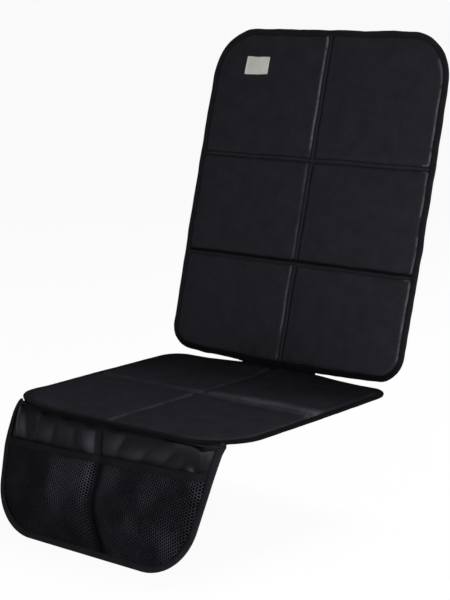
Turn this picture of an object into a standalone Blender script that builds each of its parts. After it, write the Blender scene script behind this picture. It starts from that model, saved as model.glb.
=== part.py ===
"""Padded car seat protector: reclined backrest, flat seat and hanging front flap with a net pocket.

Metres, +Z up, and the sitter faces -Y. The origin is the middle of the seat's flat underside,
which lies on the car seat. Left and right are as seen from the front, so left is -X.
"""

import math
from dataclasses import dataclass

import bmesh
import bpy
from mathutils import Matrix, Vector

# Cloth, tape and padding
CLOTH = 0.0008  # coated woven cover and lining
TAPE = 0.0010  # edge binding, one layer
TAPE_REACH = 0.0100  # how far each leg of the binding covers the panel
FOAM = 0.0040  # padding board in each cell
CLEAR = 0.0003  # between pieces that touch

# Backrest
BACK_WIDTH = 0.489
BACK_HEIGHT = 0.576
BACK_RECLINE = math.radians(15.1)  # from upright
BACK_TOP_RADIUS = 0.084
BACK_FOOT_RADIUS = 0.041
BACK_SEAMS = (0.172, 0.350)  # heights of the two sewn cross channels
BACK_BULGE = 0.0025  # how far the long sides swell outwards
BACK_FOOT_BOW = 0.0075  # how far the lower edge bows down in the middle

# Seat
SEAT_WIDTH = 0.470
SEAT_DEPTH = 0.424
SEAT_REAR_RADIUS = 0.037
SEAT_FRONT_RADIUS = 0.093
SEAT_SEAM = 0.2045  # from the rear edge to the cross channel
SEAT_BULGE = 0.0010
SEAT_REAR_BOW = 0.0030  # how far the rear edge bows out in the middle

# Quilting
MARGIN = 0.0108  # from a panel's edge to the foot of a padded cell
LONG_CHANNEL = 0.0100  # floor of the channel that runs up the middle
CROSS_CHANNEL = 0.0085  # floor of a channel that runs across
SHOULDER = 0.0060  # run of a cell's rounded edge
CELL_RADIUS = 0.0060  # corners that meet a channel
LINING_STEP = 0.0030  # run of the step where the lining is pinched to the edge

# Hinge strip between seat and backrest
HINGE_GAP = 0.0150
HINGE_WIDTH = 0.155
HINGE_CLOTH = 0.0016
HINGE_FULLNESS = 0.0060  # how strongly the slack strip bows to the rear
BOW_REACH = 0.1200  # how far into a panel its bowed edge is felt

# Front flap
FLAP_TOP_WIDTH = 0.442
FLAP_FOOT_WIDTH = 0.386
FLAP_LENGTH = 0.199
FLAP_TOP_RADIUS = 0.0115
FLAP_FOOT_RADIUS = 0.088
FLAP_LEAN = math.radians(18.8)  # its foot stands forward of its top
FLAP_SETBACK = 0.0110  # behind the seat's front edge
SEAM_TAPE = 0.0090  # leg of the angled tape that carries the flap

# Net pocket
HEM_DROP = 0.0500  # from the flap's top to the hem's top
HEM_HEIGHT = 0.0120
NET = 0.0008  # net, one layer
NET_BAR = 0.0034  # width of a bar of the coarse net
NET_COLUMNS = 9  # gaps across one pocket
NET_ROWS = 6
POCKET_DEPTH = 0.0110  # how far the net stands off the flap
SEAM_BAND = 0.0080  # band of net sewn down between the two pockets

# Label
LABEL_WIDTH = 0.050
LABEL_HEIGHT = 0.032
LABEL_CLOTH = 0.0008
LABEL_BORDER = 0.0025
LABEL_RELIEF = 0.0004
LABEL_FROM_LEFT = 0.073
LABEL_FROM_TOP = 0.0510

# Fineness
ARC_STEPS = 6
CELL_STEPS = 4
SIDE_STEPS = 4
HINGE_STEPS = 5

# Levels in a panel's layered edge, from the lining side up
LOW_LEG = CLEAR
LINING_RIM = LOW_LEG + TAPE + CLEAR
COVER_RIM = LINING_RIM + CLOTH + CLEAR
HIGH_LEG = COVER_RIM + CLOTH + CLEAR
RIM_TOP = HIGH_LEG + TAPE
RIM_MIDDLE = (LOW_LEG + RIM_TOP) / 2
CLOTH_EDGE = TAPE + CLEAR
FOAM_FLOOR = CLOTH + CLEAR
PLATEAU = FOAM_FLOOR + FOAM + CLEAR

# Levels in the flap, from its rear face forward
NET_FLOOR = CLOTH + CLEAR
NET_LEG = NET_FLOOR + NET + CLEAR


@dataclass(frozen=True)
class Shape:
    """A flat shape with four straight sides and round corners, counter-clockwise from the top left."""

    corners: tuple
    radii: tuple

    def outline(self, inset, arc_steps, side_steps=1):
        """Points round the shape, moved inwards by inset."""
        arcs = []
        for i in range(4):
            before = Vector(self.corners[i - 1])
            here = Vector(self.corners[i])
            after = Vector(self.corners[(i + 1) % 4])
            arrive = (here - before).normalized()
            leave = (after - here).normalized()
            in_arrive = Vector((-arrive.y, arrive.x))
            in_leave = Vector((-leave.y, leave.x))
            corner = here + (in_arrive + in_leave) * (inset / (1 + in_arrive.dot(in_leave)))
            turn = math.atan2(arrive.cross(leave), arrive.dot(leave))
            radius = max(self.radii[i] - inset, CLEAR)
            start = corner - arrive * (radius * math.tan(turn / 2))
            centre = start + in_arrive * radius
            arcs.append([
                centre + Matrix.Rotation(turn * k / arc_steps, 2) @ (start - centre)
                for k in range(arc_steps + 1)
            ])
        points = []
        for i, arc in enumerate(arcs):
            points += arc
            onward = arcs[(i + 1) % 4][0]
            points += [arc[-1].lerp(onward, k / side_steps) for k in range(1, side_steps)]
        return points


def rectangle(left, right, low, high, radii):
    """A Shape with upright sides."""
    return Shape(((left, high), (left, low), (right, low), (right, high)), radii)


@dataclass(frozen=True)
class Panel:
    """A quilted panel: its outer shape, its padded cells and how its edges swell."""

    shape: Shape
    cells: dict
    bulge: float  # of the two long sides
    hinge: float  # height of the edge at the hinge strip
    bow: float  # how far that edge bows upwards in the middle

    def place(self, point, height):
        """A point of the flat pattern, at a height, with the edges swollen."""
        left, high = self.shape.corners[0]
        low = self.shape.corners[1][1]
        along = (point[1] - (low + high) / 2) / ((high - low) / 2)
        swell = 1 + self.bulge / abs(left) * max(0.0, 1 - along * along)
        across = point[0] / left
        near = max(0.0, 1 - abs(point[1] - self.hinge) / BOW_REACH) ** 2
        bowed = self.bow * max(0.0, 1 - across * across) * near
        return Vector((point[0] * swell, point[1] + bowed, height))

    def hinge_edge(self, across):
        """Height of the edge at the hinge strip, at a place across the panel."""
        rim = [self.place(p, 0) for p in self.shape.outline(0, ARC_STEPS, SIDE_STEPS)]
        middle = sum(p.y for p in rim) / len(rim)
        edge = sorted((p for p in rim if (p.y > middle) == (self.hinge > middle)), key=lambda p: p.x)
        for here, there in zip(edge, edge[1:]):
            if here.x <= across <= there.x and there.x > here.x:
                return here.y + (there.y - here.y) * (across - here.x) / (there.x - here.x)
        return self.hinge


def material(name, colour, roughness, metallic=0.0):
    """A Principled material."""
    made = bpy.data.materials.new(name)
    made.use_nodes = True
    shader = made.node_tree.nodes["Principled BSDF"]
    shader.inputs["Base Color"].default_value = (*colour, 1.0)
    shader.inputs["Roughness"].default_value = roughness
    shader.inputs["Metallic"].default_value = metallic
    return made


def empty(name, place, turn):
    """An empty that carries the pieces of one panel."""
    made = bpy.data.objects.new(name, None)
    made.location = place
    made.rotation_euler = (turn, 0, 0)
    bpy.context.collection.objects.link(made)
    return made


def finish(bm, name, look, parent, thickness=0.0):
    """Turns a bmesh into a named object, with the thickness of a sheet if one is given."""
    mesh = bpy.data.meshes.new(name)
    bm.to_mesh(mesh)
    bm.free()
    mesh.materials.append(look)
    mesh.shade_smooth()
    mesh.set_sharp_from_angle(angle=math.radians(40))
    made = bpy.data.objects.new(name, mesh)
    made.parent = parent
    bpy.context.collection.objects.link(made)
    if thickness:
        solidify = made.modifiers.new("thickness", "SOLIDIFY")
        solidify.thickness = thickness
        solidify.offset = 1.0
        solidify.use_even_offset = True
    return made


def add_ring(bm, points):
    """Vertices at the points, joined by edges into a closed ring."""
    ring = [bm.verts.new(p) for p in points]
    for i, vertex in enumerate(ring):
        bm.edges.new((ring[i - 1], vertex))
    return ring


def ring_edges(bm, ring):
    """The edges of a closed ring of vertices."""
    return [bm.edges.get((ring[i - 1], vertex)) for i, vertex in enumerate(ring)]


def grow(bm, ring, points):
    """Extrudes a ring's edges and moves the new ring to the points."""
    grown = bmesh.ops.extrude_edge_only(bm, edges=ring_edges(bm, ring))
    new = {g for g in grown["geom"] if isinstance(g, bmesh.types.BMVert)}
    fresh = [next(e.other_vert(v) for e in v.link_edges if e.other_vert(v) in new) for v in ring]
    for vertex, point in zip(fresh, points):
        vertex.co = point
    return fresh


def face_up(bm):
    """Makes the faces of a sheet agree and look to +Z."""
    bmesh.ops.recalc_face_normals(bm, faces=bm.faces)
    if sum(f.normal.z * f.calc_area() for f in bm.faces) < 0:
        bmesh.ops.reverse_faces(bm, faces=bm.faces)


def loft(rings, closed):
    """A solid through rings of points: closed into a loop, or capped at its two ends."""
    bm = bmesh.new()
    first = add_ring(bm, rings[0])
    last = first
    for points in rings[1:]:
        last = grow(bm, last, points)
    if closed:
        for i in range(len(first)):
            bm.faces.new((last[i - 1], last[i], first[i], first[i - 1]))
    else:
        bm.faces.new(first)
        bm.faces.new(last)
    bmesh.ops.recalc_face_normals(bm, faces=bm.faces)
    return bm


def cover_profile():
    """Inset and height of the rings that round a cell's edge, from its foot to its flat top."""
    rise = PLATEAU - COVER_RIM
    return [(0.18 * SHOULDER, 0.45 * rise), (0.50 * SHOULDER, 0.82 * rise), (SHOULDER, rise)]


def quilted_cover(name, panel, look, parent):
    """The face cloth: flat at the edge and in the channels, raised over each cell."""
    bm = bmesh.new()
    rim = panel.shape.outline(CLOTH_EDGE, ARC_STEPS, SIDE_STEPS)
    edges = ring_edges(bm, add_ring(bm, [panel.place(p, COVER_RIM) for p in rim]))
    feet = []
    for cell in panel.cells.values():
        foot = add_ring(bm, [panel.place(p, COVER_RIM) for p in cell.outline(0, CELL_STEPS)])
        edges += ring_edges(bm, foot)
        feet.append((cell, foot))
    bmesh.ops.triangle_fill(bm, edges=edges, use_beauty=True, normal=(0, 0, 1))
    for cell, ring in feet:
        for inset, rise in cover_profile():
            points = cell.outline(inset, CELL_STEPS)
            ring = grow(bm, ring, [panel.place(p, COVER_RIM + rise) for p in points])
        bm.faces.new(ring)
    face_up(bm)
    return finish(bm, name, look, parent, CLOTH)


def lining(name, panel, look, parent):
    """The rear cloth: flat where it lies on the car seat, and pinched up to the binding."""
    bm = bmesh.new()
    step = TAPE_REACH + CLEAR
    ring = add_ring(bm, [
        panel.place(p, LINING_RIM)
        for p in panel.shape.outline(CLOTH_EDGE, ARC_STEPS, SIDE_STEPS)
    ])
    for inset, height in ((step, LINING_RIM), (step + LINING_STEP, 0.0)):
        points = panel.shape.outline(inset, ARC_STEPS, SIDE_STEPS)
        ring = grow(bm, ring, [panel.place(p, height) for p in points])
    bm.faces.new(ring)
    face_up(bm)
    return finish(bm, name, look, parent, CLOTH)


def foam_pad(name, panel, cell, look, parent):
    """The padding board of one cell, just inside the cover, chamfered over the lining's step."""
    side = 2 * CLEAR
    rings = [(LINING_STEP, FOAM_FLOOR), (side, COVER_RIM)]
    rings += [(inset + side, COVER_RIM + rise - CLEAR) for inset, rise in cover_profile()[::2]]
    bm = loft(
        [[panel.place(p, z) for p in cell.outline(inset, CELL_STEPS)] for inset, z in rings],
        closed=False,
    )
    return finish(bm, name, look, parent)


def binding_section(low, high):
    """Inset and level of a folded tape's corners: round its outside, then back inside it."""
    fold = TAPE * 0.6
    return [
        (TAPE_REACH, low), (fold, low), (0, low + fold), (0, high + TAPE - fold),
        (fold, high + TAPE), (TAPE_REACH, high + TAPE), (TAPE_REACH, high),
        (TAPE, high), (TAPE, low + TAPE), (TAPE_REACH, low + TAPE),
    ]


def panel_binding(name, panel, look, parent):
    """The tape folded over the whole edge of a panel."""
    tracks = [
        [panel.place(p, level) for p in panel.shape.outline(inset, ARC_STEPS, SIDE_STEPS)]
        for inset, level in binding_section(LOW_LEG, HIGH_LEG)
    ]
    return finish(loft(list(zip(*tracks)), closed=True), name, look, parent)


def back_panel():
    """The backrest's pattern: two columns and three rows of cells."""
    half = BACK_WIDTH / 2
    top, foot, small = BACK_TOP_RADIUS, BACK_FOOT_RADIUS, CELL_RADIUS
    shape = rectangle(-half, half, 0, BACK_HEIGHT, (top, foot, foot, top))
    lows = (MARGIN, *(s + CROSS_CHANNEL / 2 for s in BACK_SEAMS))
    highs = (*(s - CROSS_CHANNEL / 2 for s in BACK_SEAMS), BACK_HEIGHT - MARGIN)
    outer, inner = half - MARGIN, LONG_CHANNEL / 2
    cells = {}
    for row, low, high in zip(("bottom", "middle", "top"), lows, highs):
        foot_radius = foot - MARGIN if row == "bottom" else small
        top_radius = top - MARGIN if row == "top" else small
        cells[row + "_left"] = rectangle(
            -outer, -inner, low, high, (top_radius, foot_radius, small, small)
        )
        cells[row + "_right"] = rectangle(
            inner, outer, low, high, (small, small, foot_radius, top_radius)
        )
    return Panel(shape, cells, BACK_BULGE, 0, -BACK_FOOT_BOW)


def seat_panel():
    """The seat's pattern: two columns and two rows of cells."""
    half, rear = SEAT_WIDTH / 2, SEAT_DEPTH / 2
    round_rear, round_front, small = SEAT_REAR_RADIUS, SEAT_FRONT_RADIUS, CELL_RADIUS
    shape = rectangle(-half, half, -rear, rear, (round_rear, round_front, round_front, round_rear))
    seam = rear - SEAT_SEAM
    outer, inner = half - MARGIN, LONG_CHANNEL / 2
    rows = {
        "rear": (seam + CROSS_CHANNEL / 2, rear - MARGIN, small, round_rear - MARGIN),
        "front": (-rear + MARGIN, seam - CROSS_CHANNEL / 2, round_front - MARGIN, small),
    }
    cells = {}
    for row, (low, high, low_radius, high_radius) in rows.items():
        cells[row + "_left"] = rectangle(
            -outer, -inner, low, high, (high_radius, low_radius, small, small)
        )
        cells[row + "_right"] = rectangle(
            inner, outer, low, high, (small, small, low_radius, high_radius)
        )
    return Panel(shape, cells, SEAT_BULGE, rear, SEAT_REAR_BOW)


def flap_shape():
    """The flap's pattern, hanging down from its top edge at height 0."""
    top, foot = FLAP_TOP_WIDTH / 2, FLAP_FOOT_WIDTH / 2
    corners = ((-top, 0), (-foot, -FLAP_LENGTH), (foot, -FLAP_LENGTH), (top, 0))
    radii = (FLAP_TOP_RADIUS, FLAP_FOOT_RADIUS, FLAP_FOOT_RADIUS, FLAP_TOP_RADIUS)
    return Shape(corners, radii)


def half_width(shape, inset, height):
    """Half the shape's width at a height, between its right side's points."""
    side = [p for p in shape.outline(inset, ARC_STEPS) if p.x > 0]
    side.sort(key=lambda p: p.y)
    if height <= side[0].y:
        return max(p.x for p in side if p.y - side[0].y < CLEAR)
    for lower, upper in zip(side, side[1:]):
        if lower.y <= height <= upper.y and upper.y > lower.y:
            share = (height - lower.y) / (upper.y - lower.y)
            return lower.x + (upper.x - lower.x) * share
    return side[-1].x


def net_lines():
    """The net's lines: shares of a pocket's width across, and heights from the foot up."""
    foot = -FLAP_LENGTH + TAPE_REACH + 2 * CLEAR
    head = -HEM_DROP - HEM_HEIGHT - CLEAR
    heights = [foot + (head - foot) * k / NET_ROWS for k in range(NET_ROWS + 1)]
    heights = [-FLAP_LENGTH + CLOTH_EDGE, *heights, -HEM_DROP - TAPE - CLEAR]
    shares = [k / NET_COLUMNS for k in range(NET_COLUMNS + 1)]
    return shares, heights


def stand_off(share, height):
    """How far the net stands off the flap, from the middle seam's share 0 to the side's share 1."""
    foot = -FLAP_LENGTH + TAPE_REACH + 2 * CLEAR
    climb = min(1.0, max(0.0, (height - foot) / (FLAP_LENGTH * 0.3)))
    across = math.sqrt(max(0.0, math.sin(math.pi * share)))
    return POCKET_DEPTH * across * math.sin(climb * math.pi / 2)


def net_row(shape, height):
    """The net's points across the flap at one height, from left to right."""
    shares, _ = net_lines()
    reach = TAPE_REACH + 2 * CLEAR
    edge = half_width(shape, CLOTH_EDGE, height)
    inner = min(half_width(shape, reach, height), edge - reach + CLOTH_EDGE)
    seam = SEAM_BAND / 2
    right = [
        Vector((seam + (inner - seam) * s, height, NET_FLOOR + stand_off(s, height)))
        for s in shares
    ]
    right.append(Vector((edge, height, NET_FLOOR)))
    left = [Vector((-p.x, p.y, p.z)) for p in reversed(right)]
    return left + right


def pocket_net(shape, look, parent):
    """The net sheet: a coarse lattice, solid where it is sewn down."""
    bm = bmesh.new()
    _, heights = net_lines()
    grid = [[bm.verts.new(p) for p in net_row(shape, height)] for height in heights]
    gaps = []
    for j in range(len(grid) - 1):
        for i in range(len(grid[0]) - 1):
            face = bm.faces.new((grid[j][i], grid[j][i + 1], grid[j + 1][i + 1], grid[j + 1][i]))
            in_rows = 0 < j < len(grid) - 2
            in_columns = i not in (0, NET_COLUMNS + 1, len(grid[0]) - 2)
            if in_rows and in_columns:
                gaps.append(face)
    bm.normal_update()
    bmesh.ops.inset_individual(bm, faces=gaps, thickness=NET_BAR / 2, use_even_offset=True)
    bmesh.ops.delete(bm, geom=gaps, context="FACES")
    face_up(bm)
    return finish(bm, "pocket_net", look, parent, NET)


def pocket_hem(shape, look, parent):
    """The tape over the net's top edge: one leg down its face, and a return over the edge."""
    top, low = -HEM_DROP, -HEM_DROP - HEM_HEIGHT
    back, front = 0.0, NET + CLEAR
    section = (
        (low, front), (low, front + TAPE), (top, front + TAPE), (top, back),
        (top - TAPE, back), (top - TAPE, front),
    )
    rings = []
    for foot, head in zip(net_row(shape, low)[1:-1], net_row(shape, top)[1:-1]):
        spots = [foot.lerp(head, (v - low) / HEM_HEIGHT) for v, w in section]
        rings.append([p + Vector((0, 0, w)) for p, (v, w) in zip(spots, section)])
    return finish(loft(rings, closed=False), "pocket_hem", look, parent)


def flap_cloth(shape, look, parent):
    """The flap's single cloth."""
    bm = bmesh.new()
    bm.faces.new(add_ring(bm, [Vector((*p, 0)) for p in shape.outline(CLOTH_EDGE, ARC_STEPS)]))
    face_up(bm)
    return finish(bm, "flap_cloth", look, parent, CLOTH)


def flap_binding(shape, look, parent):
    """The tape round the flap's sides and foot, open along its top edge."""
    tracks = [
        [Vector((*p, level)) for p in shape.outline(inset, ARC_STEPS)]
        for inset, level in binding_section(-CLEAR - TAPE, NET_LEG)
    ]
    return finish(loft(list(zip(*tracks)), closed=False), "flap_binding", look, parent)


def flap_place():
    """Where the flap's top edge is, with the flap's up and forward directions."""
    up = Vector((0, math.sin(FLAP_LEAN), math.cos(FLAP_LEAN)))
    front = Vector((0, -math.cos(FLAP_LEAN), math.sin(FLAP_LEAN)))
    place = Vector((0, FLAP_SETBACK - SEAT_DEPTH / 2, -(NET_LEG + TAPE) * front.z))
    return place, up, front


def flap_seam_tape(shape, look, parent):
    """The angled tape that carries the flap: one leg under the seat's edge, one behind the flap."""
    place, up, front = flap_place()

    def at_level(forward, level):
        point = place + front * forward
        return point + up * ((level - point.z) / up.z)

    hang = up * SEAM_TAPE
    rear_top = at_level(-CLEAR - TAPE, 0)
    tip = rear_top.y - SEAM_TAPE
    section = (
        rear_top,
        place - front * (CLEAR + TAPE) - hang,
        place - front * CLEAR - hang,
        at_level(-CLEAR, -TAPE),
        Vector((0, tip, -TAPE)),
        Vector((0, tip, 0)),
    )
    half = shape.outline(0, ARC_STEPS)[0].x + CLEAR
    rings = [[Vector((x, p.y, p.z)) for p in section] for x in (half, -half)]
    return finish(loft(rings, closed=False), "flap_seam_tape", look, parent)


def back_place():
    """Where the middle of the backrest's lower edge is, with its up and forward directions."""
    up = Vector((0, math.sin(BACK_RECLINE), math.cos(BACK_RECLINE)))
    front = Vector((0, -math.cos(BACK_RECLINE), math.sin(BACK_RECLINE)))
    edge = Vector((0, SEAT_DEPTH / 2, RIM_MIDDLE)) + up * HINGE_GAP
    return edge - front * RIM_MIDDLE, up, front


def hinge_section(across):
    """The strip's side view at a place across, from the seat's rear edge to the backrest's foot."""
    place, up, front = back_place()
    start = Vector((0, seat_panel().hinge_edge(across) + CLEAR, RIM_MIDDLE))
    end = place + front * RIM_MIDDLE + up * (back_panel().hinge_edge(across) - CLEAR)
    pulls = (start, start + Vector((0, HINGE_FULLNESS, 0)), end - up * (HINGE_FULLNESS / 3), end)
    line = []
    for k in range(HINGE_STEPS + 1):
        t = k / HINGE_STEPS
        weights = ((1 - t) ** 3, 3 * t * (1 - t) ** 2, 3 * t * t * (1 - t), t ** 3)
        line.append(sum((p * w for p, w in zip(pulls, weights)), Vector()))
    faces = []
    for k, point in enumerate(line):
        along = (line[min(k + 1, HINGE_STEPS)] - line[max(k - 1, 0)]).normalized()
        if k == 0:
            along = Vector((0, 1, 0))
        if k == HINGE_STEPS:
            along = up
        faces.append((point, Vector((0, -along.z, along.y)) * (HINGE_CLOTH / 2)))
    section = [p + n for p, n in faces] + [p - n for p, n in reversed(faces)]
    return [Vector((across, p.y, p.z)) for p in section]


def hinge_strip(look, parent):
    """The slack strip of cloth sewn between the seat's rear edge and the backrest's lower edge."""
    half = HINGE_WIDTH / 2
    rings = [hinge_section(x) for x in (-half, 0, half)]
    return finish(loft(rings, closed=False), "hinge_strip", look, parent)


def label_patch(look, parent):
    """The bare label on the top left cell, with a raised border."""
    bm = bmesh.new()
    bmesh.ops.create_cube(bm, size=1.0)
    bmesh.ops.scale(bm, vec=(LABEL_WIDTH, LABEL_HEIGHT, LABEL_CLOTH), verts=bm.verts)
    top = [f for f in bm.faces if f.normal.z > 0.5]
    bmesh.ops.inset_region(bm, faces=top, thickness=LABEL_BORDER)
    bmesh.ops.translate(bm, vec=(0, 0, -LABEL_RELIEF), verts=top[0].verts)
    made = finish(bm, "label_patch", look, parent)
    made.location = (
        LABEL_FROM_LEFT + LABEL_WIDTH / 2 - BACK_WIDTH / 2,
        BACK_HEIGHT - LABEL_FROM_TOP - LABEL_HEIGHT / 2,
        PLATEAU + CLOTH + CLEAR + LABEL_CLOTH / 2,
    )
    return made


def quilted_panel(name, panel, looks, parent):
    """A panel's cover, lining, padding and binding."""
    quilted_cover(name + "_cover", panel, looks["cover"], parent)
    lining(name + "_lining", panel, looks["lining"], parent)
    for key, cell in panel.cells.items():
        foam_pad(f"{name}_foam_{key}", panel, cell, looks["foam"], parent)
    panel_binding(name + "_binding", panel, looks["tape"], parent)


def make_looks():
    """The part's materials, by the piece that they are for."""
    return {
        "cover": material("oxford_cloth", (0.013, 0.013, 0.017), 0.62),
        "lining": material("non_slip_lining", (0.010, 0.010, 0.012), 0.85),
        "foam": material("foam_board", (0.030, 0.030, 0.032), 0.90),
        "tape": material("binding_tape", (0.006, 0.006, 0.007), 0.70),
        "flap": material("coated_cloth", (0.014, 0.014, 0.018), 0.40),
        "net": material("pocket_net", (0.008, 0.008, 0.011), 0.65),
        "label": material("label", (0.420, 0.420, 0.400), 0.45, 0.2),
    }


def main():
    """Builds every piece."""
    for old in list(bpy.data.objects):
        bpy.data.objects.remove(old)
    looks = make_looks()
    upright = math.pi / 2
    seat = empty("seat_frame", (0, 0, 0), 0)
    back = empty("back_frame", back_place()[0], upright - BACK_RECLINE)
    flap = empty("flap_frame", flap_place()[0], upright - FLAP_LEAN)
    quilted_panel("seat", seat_panel(), looks, seat)
    quilted_panel("back", back_panel(), looks, back)
    hinge_strip(looks["tape"], seat)
    label_patch(looks["label"], back)
    shape = flap_shape()
    flap_cloth(shape, looks["flap"], flap)
    flap_binding(shape, looks["tape"], flap)
    flap_seam_tape(shape, looks["tape"], seat)
    pocket_net(shape, looks["net"], flap)
    pocket_hem(shape, looks["tape"], flap)


main()
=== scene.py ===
"""Looks of a padded car seat protector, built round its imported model.

Metres, +Z up, and the sitter faces -Y. Left and right are as seen from the front, so left is -X.
Each panel is made flat, in its own plane, and is then set in place: the seat lies level, the
backrest leans back from the seat's rear edge, and the flap hangs from under the seat's front edge.
"""

import logging
import math
from bisect import bisect_left
from collections.abc import Callable, Sequence
from dataclasses import dataclass, field
from enum import Enum

import bmesh
import bpy
from mathutils import Matrix, Vector, noise


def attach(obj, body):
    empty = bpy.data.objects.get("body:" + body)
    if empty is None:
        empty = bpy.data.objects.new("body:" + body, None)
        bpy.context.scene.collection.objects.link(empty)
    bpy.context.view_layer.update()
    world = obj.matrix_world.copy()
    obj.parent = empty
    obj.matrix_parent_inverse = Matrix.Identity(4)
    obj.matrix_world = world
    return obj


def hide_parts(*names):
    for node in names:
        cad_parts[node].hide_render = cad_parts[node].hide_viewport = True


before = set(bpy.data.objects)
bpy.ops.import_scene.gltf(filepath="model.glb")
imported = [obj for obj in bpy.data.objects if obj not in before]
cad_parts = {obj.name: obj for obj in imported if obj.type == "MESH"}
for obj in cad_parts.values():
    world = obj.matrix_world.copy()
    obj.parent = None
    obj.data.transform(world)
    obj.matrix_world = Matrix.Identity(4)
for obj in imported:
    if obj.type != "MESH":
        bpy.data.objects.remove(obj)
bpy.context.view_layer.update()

LOG = logging.getLogger("seat_protector")

MM = 0.001
BODY = "root"
PATTERN = "pattern"  # the UV map of every cloth piece: its flat pattern, in millimetres
PAINTED_LIGHT = "painted_light"  # an attribute of the cloths that carries painted light: 1 for a painted highlight, -1 for painted shade in a groove or fold
UNEVEN_GLOSS = 0.05  # how far a finish's roughness strays to either side

# Cloth, tape and padding
CLOTH = 0.8 * MM
TAPE = 1.0 * MM
TAPE_REACH = 10.0 * MM
CLEAR = 0.3 * MM
FOAM = 4.0 * MM

# The quilting, shared by both panels
SEAT_DEPTH = 424 * MM
LONG_CHANNEL = 10.0 * MM  # width of the sewn channel down the middle
CROSS_CHANNEL = 8.5 * MM
MARGIN = 10.8 * MM  # from a panel's edge to its padding
CELL_RADIUS = 6 * MM

# The seat's front left corner, which curls up and takes the flap along
CURL = 4.5 * MM
CURL_START = 110 * MM  # left of the panel's middle, and in from its front edge
CURL_RUN = 110 * MM
CURL_RUN_UP = 90 * MM

# Levels in a panel's layered edge, from the lining side up
LINING_RIM = CLEAR + TAPE + CLEAR
COVER_RIM = LINING_RIM + CLOTH + CLEAR
HIGH_LEG = COVER_RIM + CLOTH + CLEAR
RIM_TOP = HIGH_LEG + TAPE
RIM_MIDDLE = (CLEAR + RIM_TOP) / 2
CLOTH_EDGE = TAPE + CLEAR
PLATEAU = CLOTH + CLEAR + FOAM + CLEAR

# Levels in the flap, from its rear face forward
NET_FLOOR = CLOTH + CLEAR
NET = 0.8 * MM  # the room between flap and hem that the net takes
NET_THREAD = 0.55 * MM
NET_LEG = NET_FLOOR + NET + CLEAR


class Slot(Enum):
    """The record's material slots."""

    COVER = "oxford_cloth"
    LINING = "non_slip_lining"
    FOAM = "foam"
    TAPE = "binding_tape"
    FLAP = "coated_cloth"
    NET = "net"
    LABEL = "label"


class Hold(Enum):
    """How a sheet of cloth is held."""

    STRETCHED = "stretched"
    HUNG = "hung"
    GATHERED = "gathered"


def linear(colour: str) -> tuple[float, float, float, float]:
    """Turns an sRGB hex colour into a linear one.

    Args:
        colour: Six hex digits after a hash sign.

    Returns:
        Red, green, blue and an alpha of 1.
    """
    parts = [int(colour[i:i + 2], 16) / 255 for i in (1, 3, 5)]
    red, green, blue = (p / 12.92 if p <= 0.04045 else ((p + 0.055) / 1.055) ** 2.4 for p in parts)
    return red, green, blue, 1.0


def add(
    tree: bpy.types.NodeTree, kind: str, inputs: dict | None = None, **settings: object
) -> bpy.types.Node:
    """Adds a shader node with its settings and links.

    Args:
        tree: The node tree that gets the node.
        kind: The node's type, without its ShaderNode prefix.
        inputs: A value, or the output socket that feeds it, for each input's name or number.
        settings: The node's own properties.

    Returns:
        The new node.
    """
    made = tree.nodes.new("ShaderNode" + kind)
    for name, value in settings.items():
        setattr(made, name, value)
    for name, value in (inputs or {}).items():
        if isinstance(value, bpy.types.NodeSocket):
            tree.links.new(value, made.inputs[name])
        else:
            made.inputs[name].default_value = value
    return made


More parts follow.
